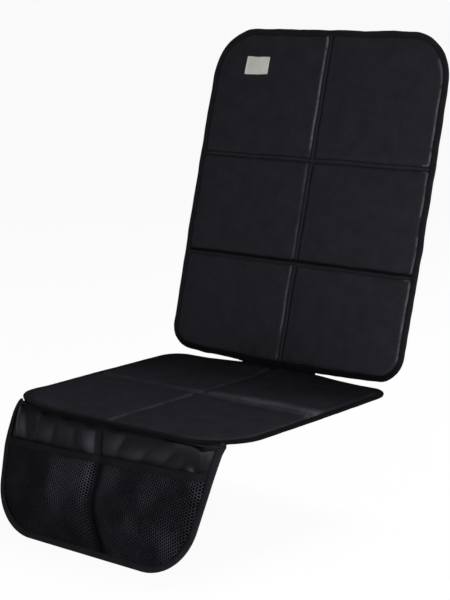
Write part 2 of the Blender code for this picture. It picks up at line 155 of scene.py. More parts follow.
@dataclass(frozen=True)
class Finish:
    """A finish: its real material's name, colours and gloss, and the colours of its painted highlights and
    painted shade.
    """

    name: str
    colour: str
    shade: str
    roughness: float
    specular: float
    ior: float = 1.5
    contrast: float = 0.5  # range of the pattern over which the shade turns into the colour
    blotch: float = 0.55  # the large mottles' share of the pattern; the fine relief has the rest
    highlight_colour: str = ""  # its colour for a painted highlight; empty where it has none
    groove: str = "#050506"  # its colour for painted shade, deep in a groove or fold
    deep: float = 0.1  # height of its fine relief, millimetres
    solid: bool = False  # whether its pattern is placed by object coordinates

    def height(self, tree: bpy.types.NodeTree, spot: bpy.types.NodeSocket) -> bpy.types.NodeSocket:
        """The surface's fine relief, from 0 to 1.

        Args:
            tree: The material's node tree.
            spot: The pattern's place, in millimetres.

        Returns:
            The output that carries the relief.
        """
        return add(tree, "TexNoise", {"Vector": spot, "Scale": 0.5, "Detail": 3.0}).outputs[0]

    def place(self, tree: bpy.types.NodeTree) -> bpy.types.NodeSocket:
        """The pattern's place in millimetres, on the piece's own flat pattern or in its solid."""
        if not self.solid:
            return add(tree, "UVMap", uv_map=PATTERN).outputs["UV"]
        spot = add(tree, "TexCoord")
        return add(tree, "Mapping", {"Vector": spot.outputs["Object"], "Scale": (1 / MM,) * 3}).outputs[0]

    def with_painted_light(self, tree: bpy.types.NodeTree, colour: bpy.types.NodeSocket) -> bpy.types.NodeSocket:
        """The colour with painted light: paler for a painted highlight, darker for painted shade, as the
        cloth's attribute says.

        Args:
            tree: The material's node tree.
            colour: The colour without painted light.

        Returns:
            The output that carries the colour with painted light.
        """
        if not self.highlight_colour:
            return colour
        painted_light = add(tree, "Attribute", attribute_name=PAINTED_LIGHT).outputs["Fac"]
        for sign, tone in ((1.0, self.highlight_colour), (-1.0, self.groove)):
            share = add(tree, "Math", {0: painted_light, 1: sign}, operation="MULTIPLY", use_clamp=True)
            mixed = add(tree, "Mix", {0: share.outputs[0], 6: colour, 7: linear(tone)}, data_type="RGBA")
            colour = mixed.outputs[2]
        return colour

    def material(self) -> bpy.types.Material:
        """Makes the procedural material.

        Returns:
            The material, with mottled colour, relief and uneven roughness.
        """
        made = bpy.data.materials.new(self.name)
        made.use_nodes = True
        tree = made.node_tree
        shader = tree.nodes["Principled BSDF"]
        spot = self.place(tree)
        mottle = add(tree, "TexNoise", {"Vector": spot, "Scale": 0.035, "Detail": 4.0, "Roughness": 0.62})
        height = self.height(tree, spot)
        fine = add(tree, "Math", {0: height, 1: 1 - self.blotch}, operation="MULTIPLY")
        whole = add(
            tree, "Math", {0: mottle.outputs[0], 1: self.blotch, 2: fine.outputs[0]}, operation="MULTIPLY_ADD"
        )
        half = self.contrast / 2
        blend = add(tree, "MapRange", {0: whole.outputs[0], 1: 0.5 - half, 2: 0.5 + half})
        shades = {0: blend.outputs[0], 6: linear(self.shade), 7: linear(self.colour)}
        colour = add(tree, "Mix", shades, data_type="RGBA")
        dull, shiny = self.roughness + UNEVEN_GLOSS, self.roughness - UNEVEN_GLOSS
        gloss = add(tree, "MapRange", {0: mottle.outputs[0], 1: 0.3, 2: 0.7, 3: shiny, 4: dull})
        bump = add(tree, "Bump", {"Strength": 1.0, "Distance": self.deep * MM, "Height": height})
        tree.links.new(self.with_painted_light(tree, colour.outputs[2]), shader.inputs["Base Color"])
        tree.links.new(gloss.outputs[0], shader.inputs["Roughness"])
        tree.links.new(bump.outputs[0], shader.inputs["Normal"])
        shader.inputs["Specular IOR Level"].default_value = self.specular
        shader.inputs["IOR"].default_value = self.ior
        return made


@dataclass(frozen=True)
class WovenCloth(Finish):
    """Plain-woven cloth: threads that cross over and under, with slubs."""

    deep: float = 0.12
    thread: float = 1.7  # millimetres from thread to thread

    def height(self, tree: bpy.types.NodeTree, spot: bpy.types.NodeSocket) -> bpy.types.NodeSocket:
        """The crossing threads, with slubs from a noise."""
        parts = add(tree, "SeparateXYZ", {0: spot})
        waves = []
        for axis in (0, 1):
            pace = {0: parts.outputs[axis], 1: math.tau / self.thread}
            turn = add(tree, "Math", pace, operation="MULTIPLY")
            waves.append(add(tree, "Math", {0: turn.outputs[0]}, operation="SINE").outputs[0])
        crossing = add(tree, "Math", {0: waves[0], 1: waves[1]}, operation="MULTIPLY")
        slubs = add(tree, "TexNoise", {"Vector": spot, "Scale": 0.42, "Detail": 3.0, "Roughness": 0.6})
        threads = add(tree, "Math", {0: crossing.outputs[0], 1: 0.25, 2: 0.1}, operation="MULTIPLY_ADD")
        both = {0: slubs.outputs[0], 1: 0.8, 2: threads.outputs[0]}
        return add(tree, "Math", both, operation="MULTIPLY_ADD").outputs[0]


@dataclass(frozen=True)
class DottedBacking(Finish):
    """Knitted backing with soft rubber dots in staggered rows."""

    deep: float = 0.5
    pitch: float = 9.0
    dot: float = 1.7

    def height(self, tree: bpy.types.NodeTree, spot: bpy.types.NodeSocket) -> bpy.types.NodeSocket:
        """Round dots on a turned square grid."""
        turned = add(tree, "Mapping", {"Vector": spot, "Rotation": (0, 0, math.pi / 4)})
        parts = add(tree, "SeparateXYZ", {0: turned.outputs[0]})
        squares = []
        for axis in (0, 1):
            near = add(tree, "Math", {0: parts.outputs[axis], 1: self.pitch}, operation="PINGPONG")
            squares.append(add(tree, "Math", {0: near.outputs[0], 1: 2.0}, operation="POWER").outputs[0])
        reach = add(tree, "Math", {0: squares[0], 1: squares[1]}, operation="ADD")
        away = add(tree, "Math", {0: reach.outputs[0]}, operation="SQRT")
        edge = {0: away.outputs[0], 1: self.dot, 2: self.dot * 0.6}
        return add(tree, "MapRange", edge, interpolation_type="SMOOTHSTEP").outputs[0]


@dataclass(frozen=True)
class CellFoam(Finish):
    """Open-cell foam with pores all through it."""

    deep: float = 0.4
    solid: bool = True

    def height(self, tree: bpy.types.NodeTree, spot: bpy.types.NodeSocket) -> bpy.types.NodeSocket:
        """Pores of about a millimetre."""
        return add(tree, "TexVoronoi", {"Vector": spot, "Scale": 0.9}).outputs["Distance"]


@dataclass(frozen=True)
class RibbedTape(Finish):
    """Woven polyester tape with ribs across it."""

    deep: float = 0.14
    rib: float = 1.3

    def height(self, tree: bpy.types.NodeTree, spot: bpy.types.NodeSocket) -> bpy.types.NodeSocket:
        """Ribs across the tape, roughened a little."""
        parts = add(tree, "SeparateXYZ", {0: spot})
        turn = add(tree, "Math", {0: parts.outputs[0], 1: math.tau / self.rib}, operation="MULTIPLY")
        ribs = add(tree, "Math", {0: turn.outputs[0]}, operation="SINE")
        rough = add(tree, "TexNoise", {"Vector": spot, "Scale": 0.8, "Detail": 2.0})
        both = {0: ribs.outputs[0], 1: 0.3, 2: rough.outputs[0]}
        return add(tree, "Math", both, operation="MULTIPLY_ADD").outputs[0]


@dataclass(frozen=True)
class CoatedCloth(Finish):
    """Thin coated cloth: a fine weave under a film that creases."""

    deep: float = 0.5

    def height(self, tree: bpy.types.NodeTree, spot: bpy.types.NodeSocket) -> bpy.types.NodeSocket:
        """Soft creases that run mostly down the cloth."""
        long = add(tree, "Mapping", {"Vector": spot, "Scale": (1.0, 0.45, 1.0), "Rotation": (0, 0, 0.2)})
        creases = add(tree, "TexNoise", {
            "Vector": long.outputs[0], "Scale": 0.06, "Detail": 3.5, "Roughness": 0.45, "Distortion": 0.6,
        })
        fine = add(tree, "TexNoise", {"Vector": spot, "Scale": 0.9, "Detail": 2.0})
        both = {0: fine.outputs[0], 1: 0.06, 2: creases.outputs[0]}
        return add(tree, "Math", both, operation="MULTIPLY_ADD").outputs[0]


@dataclass(frozen=True)
class SewingThread(Finish):
    """Twisted polyester thread."""

    solid: bool = True

    def height(self, tree: bpy.types.NodeTree, spot: bpy.types.NodeSocket) -> bpy.types.NodeSocket:
        """The twist of the plies."""
        twist = {"Vector": spot, "Scale": 0.5, "Distortion": 1.0}
        return add(tree, "TexWave", twist, bands_direction="DIAGONAL").outputs[1]


@dataclass(frozen=True)
class SatinPlate(Finish):
    """Silvery satin label: brushed along its length, with a few dull streaks."""

    deep: float = 0.05
    metallic: float = 0.55

    def height(self, tree: bpy.types.NodeTree, spot: bpy.types.NodeSocket) -> bpy.types.NodeSocket:
        """Brushing along the label."""
        long = add(tree, "Mapping", {"Vector": spot, "Scale": (0.08, 1.6, 1.0)})
        return add(tree, "TexNoise", {"Vector": long.outputs[0], "Scale": 1.0, "Detail": 5.0}).outputs[0]

    def material(self) -> bpy.types.Material:
        """Makes the material, partly metallic."""
        made = Finish.material(self)
        made.node_tree.nodes["Principled BSDF"].inputs["Metallic"].default_value = self.metallic
        return made


# Black 600D polyester with a faint violet cast, woven and dyed: dull, with a grain of threads.
# Its real threads are 0.5 mm apart, too fine to show here, so they are drawn 1.7 mm apart.
# Its pale colour is a painted highlight on lit shoulders and channels; its groove colour is painted shade.
OXFORD = WovenCloth("oxford_cloth", "#2c2b30", "#161519", 0.80, 0.0, 1.45, blotch=0.32, highlight_colour="#56545c")
# Black knitted backing with moulded rubber dots: dull, the dots a little smoother.
BACKING = DottedBacking("dotted_non_slip_backing", "#1f1f21", "#141416", 0.80, 0.10)
# Charcoal polyurethane foam, cut from a block: matt and porous.
BOARD = CellFoam("polyurethane_foam_board", "#3a3a3c", "#242426", 0.90, 0.20)
# Black polyester binding tape, woven with ribs; on the seat it is painted dark with shade, nearly as dark as
# the cloth's grooves.
BINDING = RibbedTape("ribbed_binding_tape", "#232226", "#141316", 0.78, 0.01, 1.45, highlight_colour="#44434a")
# Black coated polyester, calendered: dark; its creases carry painted highlights, and under the seat's edge
# and behind the net it is painted with shade.
COATED = CoatedCloth(
    "coated_polyester", "#141317", "#0b0b0e", 0.44, 0.05, 1.45, highlight_colour="#37363c", groove="#030304",
)
# Black warp-knitted polyester net, heat-set: its dull threads look paler than the cloth behind them; its pale
# colour is a painted highlight on the ridge by its middle seam, its groove colour painted shade in the
# valley.
KNIT = WovenCloth(
    "warp_knitted_net", "#2b2931", "#111014", 0.75, 0.01, 1.45, contrast=0.32, highlight_colour="#4b4952",
    groove="#060607", thread=1.2, deep=0.08,
)
# Black sewing thread, twisted: as dark as the tape.
THREAD = SewingThread("polyester_sewing_thread", "#17171a", "#0d0d0f", 0.60, 0.02)
# Silver-grey satin label, printed foil on woven tape: bright, with soft streaks.
SILVER = SatinPlate("satin_foil_label", "#bebcb7", "#98968f", 0.42, 0.40)


@dataclass(frozen=True)
class Plane:
    """A panel's own plane: local X runs right, local Y up the panel and local Z out of its face."""

    origin: Vector
    tilt: float  # radians from level, turning the face towards the front

    @property
    def matrix(self) -> Matrix:
        """From the panel's plane to the part's frame."""
        return Matrix.Translation(self.origin) @ Matrix.Rotation(self.tilt, 4, "X")

    @property
    def up(self) -> Vector:
        """The direction up the panel."""
        return Vector((0, math.cos(self.tilt), math.sin(self.tilt)))

    @property
    def front(self) -> Vector:
        """The direction out of the panel's face."""
        return Vector((0, -math.sin(self.tilt), math.cos(self.tilt)))


@dataclass(frozen=True)
class Outline:
    """A flat shape with four straight sides and round corners, counter-clockwise from the top left."""

    corners: tuple[tuple[float, float], ...]
    radii: tuple[float, ...]

    @classmethod
    def box(cls, left: float, right: float, low: float, high: float, radii: tuple[float, ...]) -> "Outline":
        """An outline with upright sides."""
        return cls(((left, high), (left, low), (right, low), (right, high)), radii)

    def points(self, inset: float, arc_steps: int, side_steps: int = 1) -> list[Vector]:
        """Points round the shape.

        Args:
            inset: How far the points lie inside the shape.
            arc_steps: Steps round each corner.
            side_steps: Steps along each side.

        Returns:
            The points, counter-clockwise.
        """
        arcs = []
        for i in range(4):
            before, here, after = (Vector(self.corners[k % 4]) for k in (i - 1, i, i + 1))
            arrive = (here - before).normalized()
            leave = (after - here).normalized()
            in_arrive = Vector((-arrive.y, arrive.x))
            in_leave = Vector((-leave.y, leave.x))
            corner = here + (in_arrive + in_leave) * (inset / (1 + in_arrive.dot(in_leave)))
            turn = math.atan2(arrive.cross(leave), arrive.dot(leave))
            radius = max(self.radii[i] - inset, CLEAR)
            start = corner - arrive * (radius * math.tan(turn / 2))
            centre = start + in_arrive * radius
            arcs.append([
                centre + Matrix.Rotation(turn * k / arc_steps, 2) @ (start - centre)
                for k in range(arc_steps + 1)
            ])
        found = []
        for i, arc in enumerate(arcs):
            onward = arcs[(i + 1) % 4][0]
            found += arc
            found += [arc[-1].lerp(onward, k / side_steps) for k in range(1, side_steps)]
        return found

    def trim(self, bm: bmesh.types.BMesh, inset: float, arc_steps: int = 12) -> None:
        """Cuts a flat mesh to the shape.

        Args:
            bm: The mesh, in the shape's plane.
            inset: How far inside the shape the cut runs.
            arc_steps: Cuts round each corner.
        """
        ring = self.points(inset, arc_steps)
        for here, there in zip(ring, ring[1:] + ring[:1]):
            along = there - here
            bmesh.ops.bisect_plane(
                bm, geom=bm.verts[:] + bm.edges[:] + bm.faces[:], dist=0.02 * MM,
                plane_co=here.to_3d(), plane_no=Vector((along.y, -along.x, 0)).normalized(), clear_outer=True,
            )
        bmesh.ops.remove_doubles(bm, verts=bm.verts, dist=0.05 * MM)

    def depth(self, u: float, v: float) -> float:
        """How far a point lies inside a shape with upright sides; below 0 outside."""
        (left, high), (right, low) = self.corners[0], self.corners[2]
        reach = (u - left, v - low, right - u, high - v)
        least = min(reach)
        for i, radius in enumerate(self.radii):
            a, b = reach[i - 1], reach[i]
            if a < radius and b < radius:
                least = radius - math.hypot(radius - a, radius - b)
        return least

    def area(self) -> float:
        """The shape's area."""
        ring = self.points(0, 12)
        return abs(sum(a.cross(b) for a, b in zip(ring, ring[1:] + ring[:1]))) / 2

    def half_widths(self, inset: float, arc_steps: int = 16) -> "HalfWidths":
        """The shape's half width at each height."""
        side = sorted((p for p in self.points(inset, arc_steps) if p.x > 0), key=lambda p: (p.y, p.x))
        return HalfWidths(tuple(p.y for p in side), tuple(p.x for p in side))


@dataclass(frozen=True)
class HalfWidths:
    """A symmetrical outline's half width, at heights from the lowest up."""

    heights: tuple[float, ...]
    widths: tuple[float, ...]

    def at(self, height: float) -> float:
        """The half width at a height."""
        k = bisect_left(self.heights, height)
        if k == 0:
            return self.widths[0]
        if k == len(self.heights):
            return self.widths[-1]
        run = self.heights[k] - self.heights[k - 1]
        share = (height - self.heights[k - 1]) / run if run else 0.0
        return self.widths[k - 1] + (self.widths[k] - self.widths[k - 1]) * share


def ripple(u: float, v: float, size: float, seed: float, stretch: float = 1.0) -> float:
    """A smooth random wave over the flat pattern.

    Args:
        u: Place across the pattern.
        v: Place up the pattern.
        size: Size of a wave.
        seed: Chooses the wave.
        stretch: How much longer the waves are up the pattern.

    Returns:
        A value from about -1 to 1.
    """
    return noise.noise(Vector((u / size, v / (size * stretch), seed)))


def smooth(value: float) -> float:
    """Eases a value between 0 and 1."""
    value = min(1.0, max(0.0, value))
    return value * value * (3 - 2 * value)


def stations(low: float, high: float, marks: Sequence[float], fine: float, coarse: float) -> list[float]:
    """Places from low to high, close together near the marks.

    Args:
        low: First place.
        high: Last place.
        marks: Where the places are close together.
        fine: Step at a mark.
        coarse: Step away from the marks.

    Returns:
        The places.
    """
    reach = 6 * coarse
    found = [low]
    while found[-1] < high:
        near = min(abs(found[-1] + fine - m) for m in marks)
        found.append(found[-1] + fine + (coarse - fine) * smooth(near / reach))
    stretch = (high - low) / (found[-1] - low)
    return [low + (p - low) * stretch for p in found]


def distances(path: Sequence[Vector], closed: bool = False) -> list[float]:
    """The distance along a path at each of its points, and back at its start if it is closed."""
    found = [0.0]
    for here, there in zip(path, list(path[1:]) + ([path[0]] if closed else [])):
        found.append(found[-1] + (there - here).length)
    return found


def cloth_grid(columns: Sequence[float], rows: Sequence[float]) -> bmesh.types.BMesh:
    """A flat grid with its pattern in millimetres.

    Args:
        columns: Places of its lines across.
        rows: Places of its lines up.

    Returns:
        The mesh, lying in its plane.
    """
    bm = bmesh.new()
    across, upward = len(columns) - 1, len(rows) - 1
    bmesh.ops.create_grid(bm, x_segments=across, y_segments=upward, size=1.0)
    pattern = bm.loops.layers.uv.new(PATTERN)
    for vertex in bm.verts:
        vertex.co.x = columns[round((vertex.co.x + 1) / 2 * across)]
        vertex.co.y = rows[round((vertex.co.y + 1) / 2 * upward)]
    for face in bm.faces:
        for loop in face.loops:
            loop[pattern].uv = loop.vert.co.xy / MM
    return bm


def strip(
    along: Sequence[float], across: Sequence[float], place: Callable[[int, int], Vector]
) -> bmesh.types.BMesh:
    """A flat strip bent into shape, closed where its edges meet.

    Args:
        along: Distances along the flat strip.
        across: Distances across it.
        place: Gives the final place of each crossing, by its numbers along and across.

    Returns:
        The bent mesh, with any open end capped.
    """
    bm = cloth_grid(list(range(len(along))), list(range(len(across))))
    pattern = bm.loops.layers.uv[PATTERN]
    for face in bm.faces:
        for loop in face.loops:
            i, j = round(loop.vert.co.x), round(loop.vert.co.y)
            loop[pattern].uv = (along[i] / MM, across[j] / MM)
    for vertex in bm.verts:
        vertex.co = place(round(vertex.co.x), round(vertex.co.y))
    bmesh.ops.remove_doubles(bm, verts=bm.verts, dist=0.001 * MM)
    bmesh.ops.holes_fill(bm, edges=[e for e in bm.edges if e.is_boundary], sides=0)
    bmesh.ops.recalc_face_normals(bm, faces=bm.faces)
    return bm


def make_piece(
    bm: bmesh.types.BMesh, name: str, look: bpy.types.Material, plane: Plane, slot: Slot,
    thickness: float = 0.0,
) -> bpy.types.Object:
    """Turns a mesh made in a panel's plane into a piece of the part.

    Args:
        bm: The mesh, which is used up.
        name: The piece's name.
        look: Its material.
        plane: The plane that it was made in.
        slot: The record's material slot; not used.
        thickness: Thickness given to a sheet, outwards; 0 for a closed mesh.

    Returns:
        The piece, riding on the part.
    """
    bm.transform(plane.matrix)
    mesh = bpy.data.meshes.new(name)
    bm.to_mesh(mesh)
    bm.free()
    mesh.materials.append(look)
    mesh.shade_smooth()
    piece = bpy.data.objects.new(name, mesh)
    bpy.context.collection.objects.link(piece)
    if thickness:
        solidify = piece.modifiers.new("thickness", "SOLIDIFY")
        solidify.thickness = thickness
        solidify.offset = 1.0
        solidify.use_even_offset = True
    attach(piece, BODY)
    LOG.info("%s: %d faces", name, len(mesh.polygons))
    return piece


def face_out(bm: bmesh.types.BMesh) -> None:
    """Makes a flat sheet's faces look out of its plane."""
    bm.normal_update()
    if sum(f.normal.z * f.calc_area() for f in bm.faces) < 0:
        bmesh.ops.reverse_faces(bm, faces=bm.faces)


def tint(
    bm: bmesh.types.BMesh, tone: float, low: float | None = None, reach: float = 50 * MM
) -> bmesh.types.BMesh:
    """Gives a whole mesh one value of its painted-light tone, or two.

    Args:
        bm: The mesh, in its panel's plane.
        tone: How pale it is painted, or, below 0, how dark.
        low: The tone at its lower edge, where that is another.
        reach: How far up the lower edge's tone fades.

    Returns:
        The same mesh.
    """
    painted_light = bm.verts.layers.float.new(PAINTED_LIGHT)
    foot = min(vertex.co.y for vertex in bm.verts)
    for vertex in bm.verts:
        near = 0.0 if low is None else smooth(1.2 - (vertex.co.y - foot) / reach)
        vertex[painted_light] = tone + ((low or 0.0) - tone) * near
    return bm


@dataclass
class Seams:
    """Rows of stitches: one thread per row, which dips into the cloth at each needle hole."""

    stitch: float = 4.2 * MM
    width: float = 0.75 * MM
    height: float = 0.5 * MM
    dip: float = 0.7 * MM
    sides: int = 6
    steps: int = 5
    rows: list[bmesh.types.BMesh] = field(default_factory=list)

    def sew(self, path: Sequence[Vector], out: Vector = Vector((0, 0, 1))) -> None:
        """Lays one row of stitches.

        Args:
            path: Points of the row, on the cloth's surface.
            out: The direction out of the cloth.
        """
        run = distances(path)
        count = max(1, round(run[-1] / self.stitch))
        spots = [run[-1] * k / (count * self.steps) for k in range(count * self.steps + 1)]

        def on_path(distance: float) -> Vector:
            k = min(max(1, bisect_left(run, distance)), len(run) - 1)
            share = (distance - run[k - 1]) / max(run[k] - run[k - 1], 1e-9)
            return path[k - 1].lerp(path[k], share)

        def place(i: int, j: int) -> Vector:
            here = on_path(spots[i])
            ahead = (on_path(min(spots[i] + MM, run[-1])) - on_path(max(spots[i] - MM, 0.0))).normalized()
            side = out.cross(ahead).normalized()
            phase = math.sin(math.pi * (i % self.steps) / self.steps)
            rise = self.height * 0.35 - self.dip * (1 - phase) ** 3
            girth = 0.5 + 0.5 * phase ** 0.5
            turn = math.tau * (j % self.sides) / self.sides
            across = side * (math.cos(turn) * self.width * girth / 2)
            return here + across + out * (rise + math.sin(turn) * self.height * girth / 2)

        girths = [self.width * math.pi * k / self.sides for k in range(self.sides + 1)]
        self.rows.append(strip(spots, girths, place))

    def finish(self, name: str, look: bpy.types.Material, plane: Plane, slot: Slot) -> bpy.types.Object:
        """Joins the rows into one piece."""
        joined = bpy.data.meshes.new(name + "_rows")
        whole = bmesh.new()
        for row in self.rows:
            row.to_mesh(joined)
            row.free()
            whole.from_mesh(joined)
        bpy.data.meshes.remove(joined)
        self.rows.clear()
        return make_piece(whole, name, look, plane, slot)


@dataclass
class Binding:
    """A ribbed tape folded over an edge."""

    outline: Outline
    low: float  # level of the rear leg's outer face
    high: float  # level of the front leg's inner face
    closed: bool
    put: Callable[[Vector, float], Vector]  # from the flat pattern and a level to the panel's plane
    arc_steps: int = 26
    side_steps: int = 70
    fold_steps: int = 8
    sewn: float = 2.2 * MM  # from the tape's edge to its stitches
    lip: float = 0.3 * MM  # of the tape's rounded edges
    wave: float = 0.5 * MM  # how far its inner edge strays
    loose: float = 0.35 * MM  # how far it stands off the cloth in places

    def section(self) -> list[tuple[float, float]]:
        """Inset and level round the folded tape: down its outside, then back inside it."""
        middle, half = (self.low + self.high + TAPE) / 2, (self.high + TAPE - self.low) / 2
        within = half - TAPE
        outer, inner = [], []
        for k in range(self.fold_steps + 1):
            turn = math.pi * (k / self.fold_steps - 0.5)
            outer.append((half * 0.75 * (1 - math.cos(turn)), middle + half * math.sin(turn)))
            inner.append((TAPE + within * (1 - math.cos(turn)), middle + within * math.sin(turn)))
        edge, top = TAPE_REACH - self.lip, self.high + TAPE
        ends_low = [(edge, self.low), (TAPE_REACH / 2, self.low)]
        ends_high = [(TAPE_REACH / 2, top), (edge, top)]
        lips_high = [(TAPE_REACH, top - self.lip), (TAPE_REACH, self.high)]
        lips_low = [(TAPE_REACH, self.low + TAPE), (TAPE_REACH, self.low + self.lip)]
        ring = ends_low + outer + ends_high + lips_high + inner[::-1] + lips_low
        return ring + ring[:1]

    def mesh(self, seed: float) -> bmesh.types.BMesh:
        """The tape's mesh, slightly uneven along its inner edge.

        Args:
            seed: Chooses the unevenness.

        Returns:
            The closed mesh.
        """
        section = self.section()
        tracks = [self.outline.points(inset, self.arc_steps, self.side_steps) for inset, _ in section]
        count = len(tracks[0])
        if not self.closed:
            count -= self.side_steps - 1
        run = distances(tracks[0][:count], self.closed)

        def place(i: int, j: int) -> Vector:
            flat = tracks[j][i % count]
            inset, level = section[j]
            hold = smooth((inset - 2 * TAPE) / (TAPE_REACH - 2 * TAPE))
            wave = ripple(flat.x, flat.y, 24 * MM, seed) * self.wave * hold
            edge = tracks[0][i % count]
            inward = (flat - edge).normalized() if inset > TAPE / 2 else Vector((0, 0))
            lift = max(0.0, ripple(flat.x, flat.y, 16 * MM, seed + 7)) * self.loose * hold
            outward = lift if level > (self.low + self.high + TAPE) / 2 else -lift * 0.3
            return self.put(flat + inward * wave, level + outward)

        return strip(run, distances([Vector(p) for p in section]), place)

    def seam_path(self, level: float) -> list[Vector]:
        """The line of the stitches on the tape, at a level."""
        path = self.outline.points(TAPE_REACH - self.sewn, self.arc_steps, self.side_steps)
        if self.closed:
            path.append(path[0])
        else:
            path = path[:len(path) - self.side_steps + 1]
        return [self.put(p, level) for p in path]


@dataclass
class QuiltedPanel:
    """A padded panel: face cloth, backing, padding, binding and stitches."""

    name: str
    plane: Plane
    outline: Outline
    cells: dict[str, Outline]
    cross_seams: tuple[float, ...]
    bulge: float  # of the two long sides
    hinge: float  # height of the edge at the hinge strip
    bow: float  # how far that edge bows upwards in the middle
    lift: float  # how far that edge is lifted out of the plane in the middle
    curl: float  # how far the lower left corner curls up
    seed: float
    shoulder_highlights: tuple[float, ...]  # painted highlight on the middle channel's left shoulder, in each row from the lowest
    groove_shades: tuple[tuple[float, float], ...]  # painted shade in each cross channel's lower and upper grooves
    upright_groove_shade: float  # painted shade in the middle channel's right groove
    band_highlights: tuple[float, float]  # painted highlight along the cross channels, on the left and on the right, with a line of painted shade below it
    band: float  # half the width of those painted highlight bands, on the right
    outer: float  # painted highlight on the padding's long right edge
    tape_shades: tuple[float, float]  # painted shade on the edge tape and on its lower edge: below 0 darker
    ridge: float  # how high the cloth is puffed up along the cross channels, on the right
    hinge_shadow: float  # painted shadow on the cloth towards the hinge, where the backrest shades it
    shoulder: float = 6.0 * MM
    groove: float = 1.0 * MM  # from a channel's edge to its row of stitches
    puff: float = 1.5 * MM  # of the channel's slack cloth, between its two rows of stitches
    dip: float = 0.4 * MM  # of the cloth at a row of stitches
    crown: float = 1.8 * MM
    pucker: float = 0.8 * MM
    undulation: float = 1.3 * MM
    wander: float = 1.5 * MM  # how far a sewn line strays to either side
    gather: float = 1.2 * MM  # of the creases at the hinge
    gather_half: float = 105.0 * MM
    rear_groove: float = 1.2 * MM
    bow_reach: float = 120.0 * MM  # how far into the panel its bowed edge is felt
    lift_reach: float = 70.0 * MM  # how far into the panel the lifted edge is felt
    lift_half: float = 130.0 * MM  # half the width that is lifted
    crown_run: float = 26.0 * MM  # how far into a cell its padding goes on rising
    pucker_run: float = 13.0 * MM
    gather_run: float = 26.0 * MM
    hinge_shadow_run: float = 135.0 * MM
    crease_shade_run: float = 20.0 * MM
    highlight_at: float = 1.3 * MM  # how far inside a cell its shoulder carries the strongest painted highlight
    highlight_half: float = 1.1 * MM
    shade_half: float = 1.2 * MM  # half the width of the painted shade along a row of stitches

    @property
    def half(self) -> float:
        """Half the panel's width."""
        return self.outline.corners[2][0]

    @property
    def low(self) -> float:
        """The lower edge's place up the panel."""
        return self.outline.corners[1][1]

    @property
    def high(self) -> float:
        """The upper edge's place up the panel."""
        return self.outline.corners[0][1]

    def swell(self, flat: Vector) -> Vector:
        """A point of the flat pattern: sides swollen, hinge edge bowed, seams astray."""
        along = (flat.y - (self.low + self.high) / 2) / ((self.high - self.low) / 2)
        across = flat.x / self.half
        near = max(0.0, 1 - abs(flat.y - self.hinge) / self.bow_reach) ** 2
        bowed = self.bow * max(0.0, 1 - across * across) * near
        strays = []
        for k in (self.seed + 20, self.seed + 30):
            long, short = ripple(flat.x, flat.y, 48 * MM, k), ripple(flat.x, flat.y, 19 * MM, k + 3)
            strays.append(self.wander * (long + 0.45 * short))
        swollen = flat.x * (1 + self.bulge / self.half * max(0.0, 1 - along * along))
        return Vector((swollen + strays[0], flat.y + bowed + strays[1]))

    def put(self, flat: Vector, level: float) -> Vector:
        """A point of the flat pattern, at a level above the rear face, in the panel's plane."""
        moved = self.swell(flat)
        near = smooth(1 - abs(flat.y - self.hinge) / self.lift_reach)
        middle = smooth(1.3 - abs(flat.x) / self.lift_half)
        inward = smooth((self.low + CURL_START - flat.y) / CURL_RUN_UP)
        corner = smooth((-flat.x - CURL_START) / CURL_RUN) * inward
        return Vector((moved.x, moved.y, level + self.lift * near * middle + self.curl * corner))

    def depth(self, u: float, v: float) -> float:
        """How far a point lies inside its padded cell; below 0 in a channel."""
        return max(cell.depth(u, v) for cell in self.cells.values())

    def cloth_level(self, u: float, v: float) -> float:
        """Level of the face cloth's inner side.

        Args:
            u: Place across the flat pattern.
            v: Place up the flat pattern.

        Returns:
            The height above the panel's rear face.
        """
        depth = self.depth(u, v)
        rim = smooth((self.outline.depth(u, v) - TAPE_REACH) / (6 * MM))
        slack = 0.7 + 0.6 * ripple(u, v, 14 * MM, self.seed)
        if depth <= 0:
            channel = LONG_CHANNEL if abs(u) < LONG_CHANNEL else CROSS_CHANNEL
            open_half = channel / 2 - self.groove
            across = min(1.0, max(0.0, (-depth - self.groove) / open_half))
            raised = self.puff * slack * math.sin(math.pi / 2 * across) - self.dip * (1 - across) ** 4
            return COVER_RIM + raised * rim
        uneven = depth + 1.2 * MM * max(0.0, ripple(u, v, 17 * MM, self.seed + 1)) * smooth(depth / MM)
        rise = 1 - (1 - min(1.0, uneven / self.shoulder)) ** 3.2
        inner = 1 - math.exp(-depth / self.crown_run)
        near = math.exp(-depth / self.pucker_run) * smooth(depth / (4 * MM))
        puckers = self.pucker * near * (0.5 + 0.5 * ripple(u, v, 11 * MM, self.seed + 2))
        waves = self.undulation * inner * (0.5 + 0.5 * ripple(u, v, 75 * MM, self.seed + 3))
        middle = max(0.0, 1 - (u / self.gather_half) ** 2)
        creases = 0.5 + 0.5 * ripple(u, v, 8 * MM, self.seed + 5, 4.0)
        gathers = self.gather * middle * creases * math.exp(-abs(v - self.hinge) / self.gather_run) * rim
        level = COVER_RIM + (PLATEAU - COVER_RIM) * rise + self.crown * inner + puckers + waves + gathers
        return level + self.puffed(u, v) * smooth(depth / (5 * MM)) * rim

    def rightward(self, u: float) -> float:
        """How far towards the panel's right side a place lies, from 0 to 1."""
        return smooth(u / (200 * MM) + 0.35)

    def puffed(self, u: float, v: float) -> float:
        """How high the slack cloth stands beside the cross channels."""
        uneven = 1 + 0.4 * ripple(u, v, 30 * MM, self.seed + 9)
        nearest = min(abs(v - seam) for seam in self.cross_seams)
        return self.ridge * self.rightward(u) * uneven * math.exp(-(nearest / (1.3 * self.band)) ** 2)

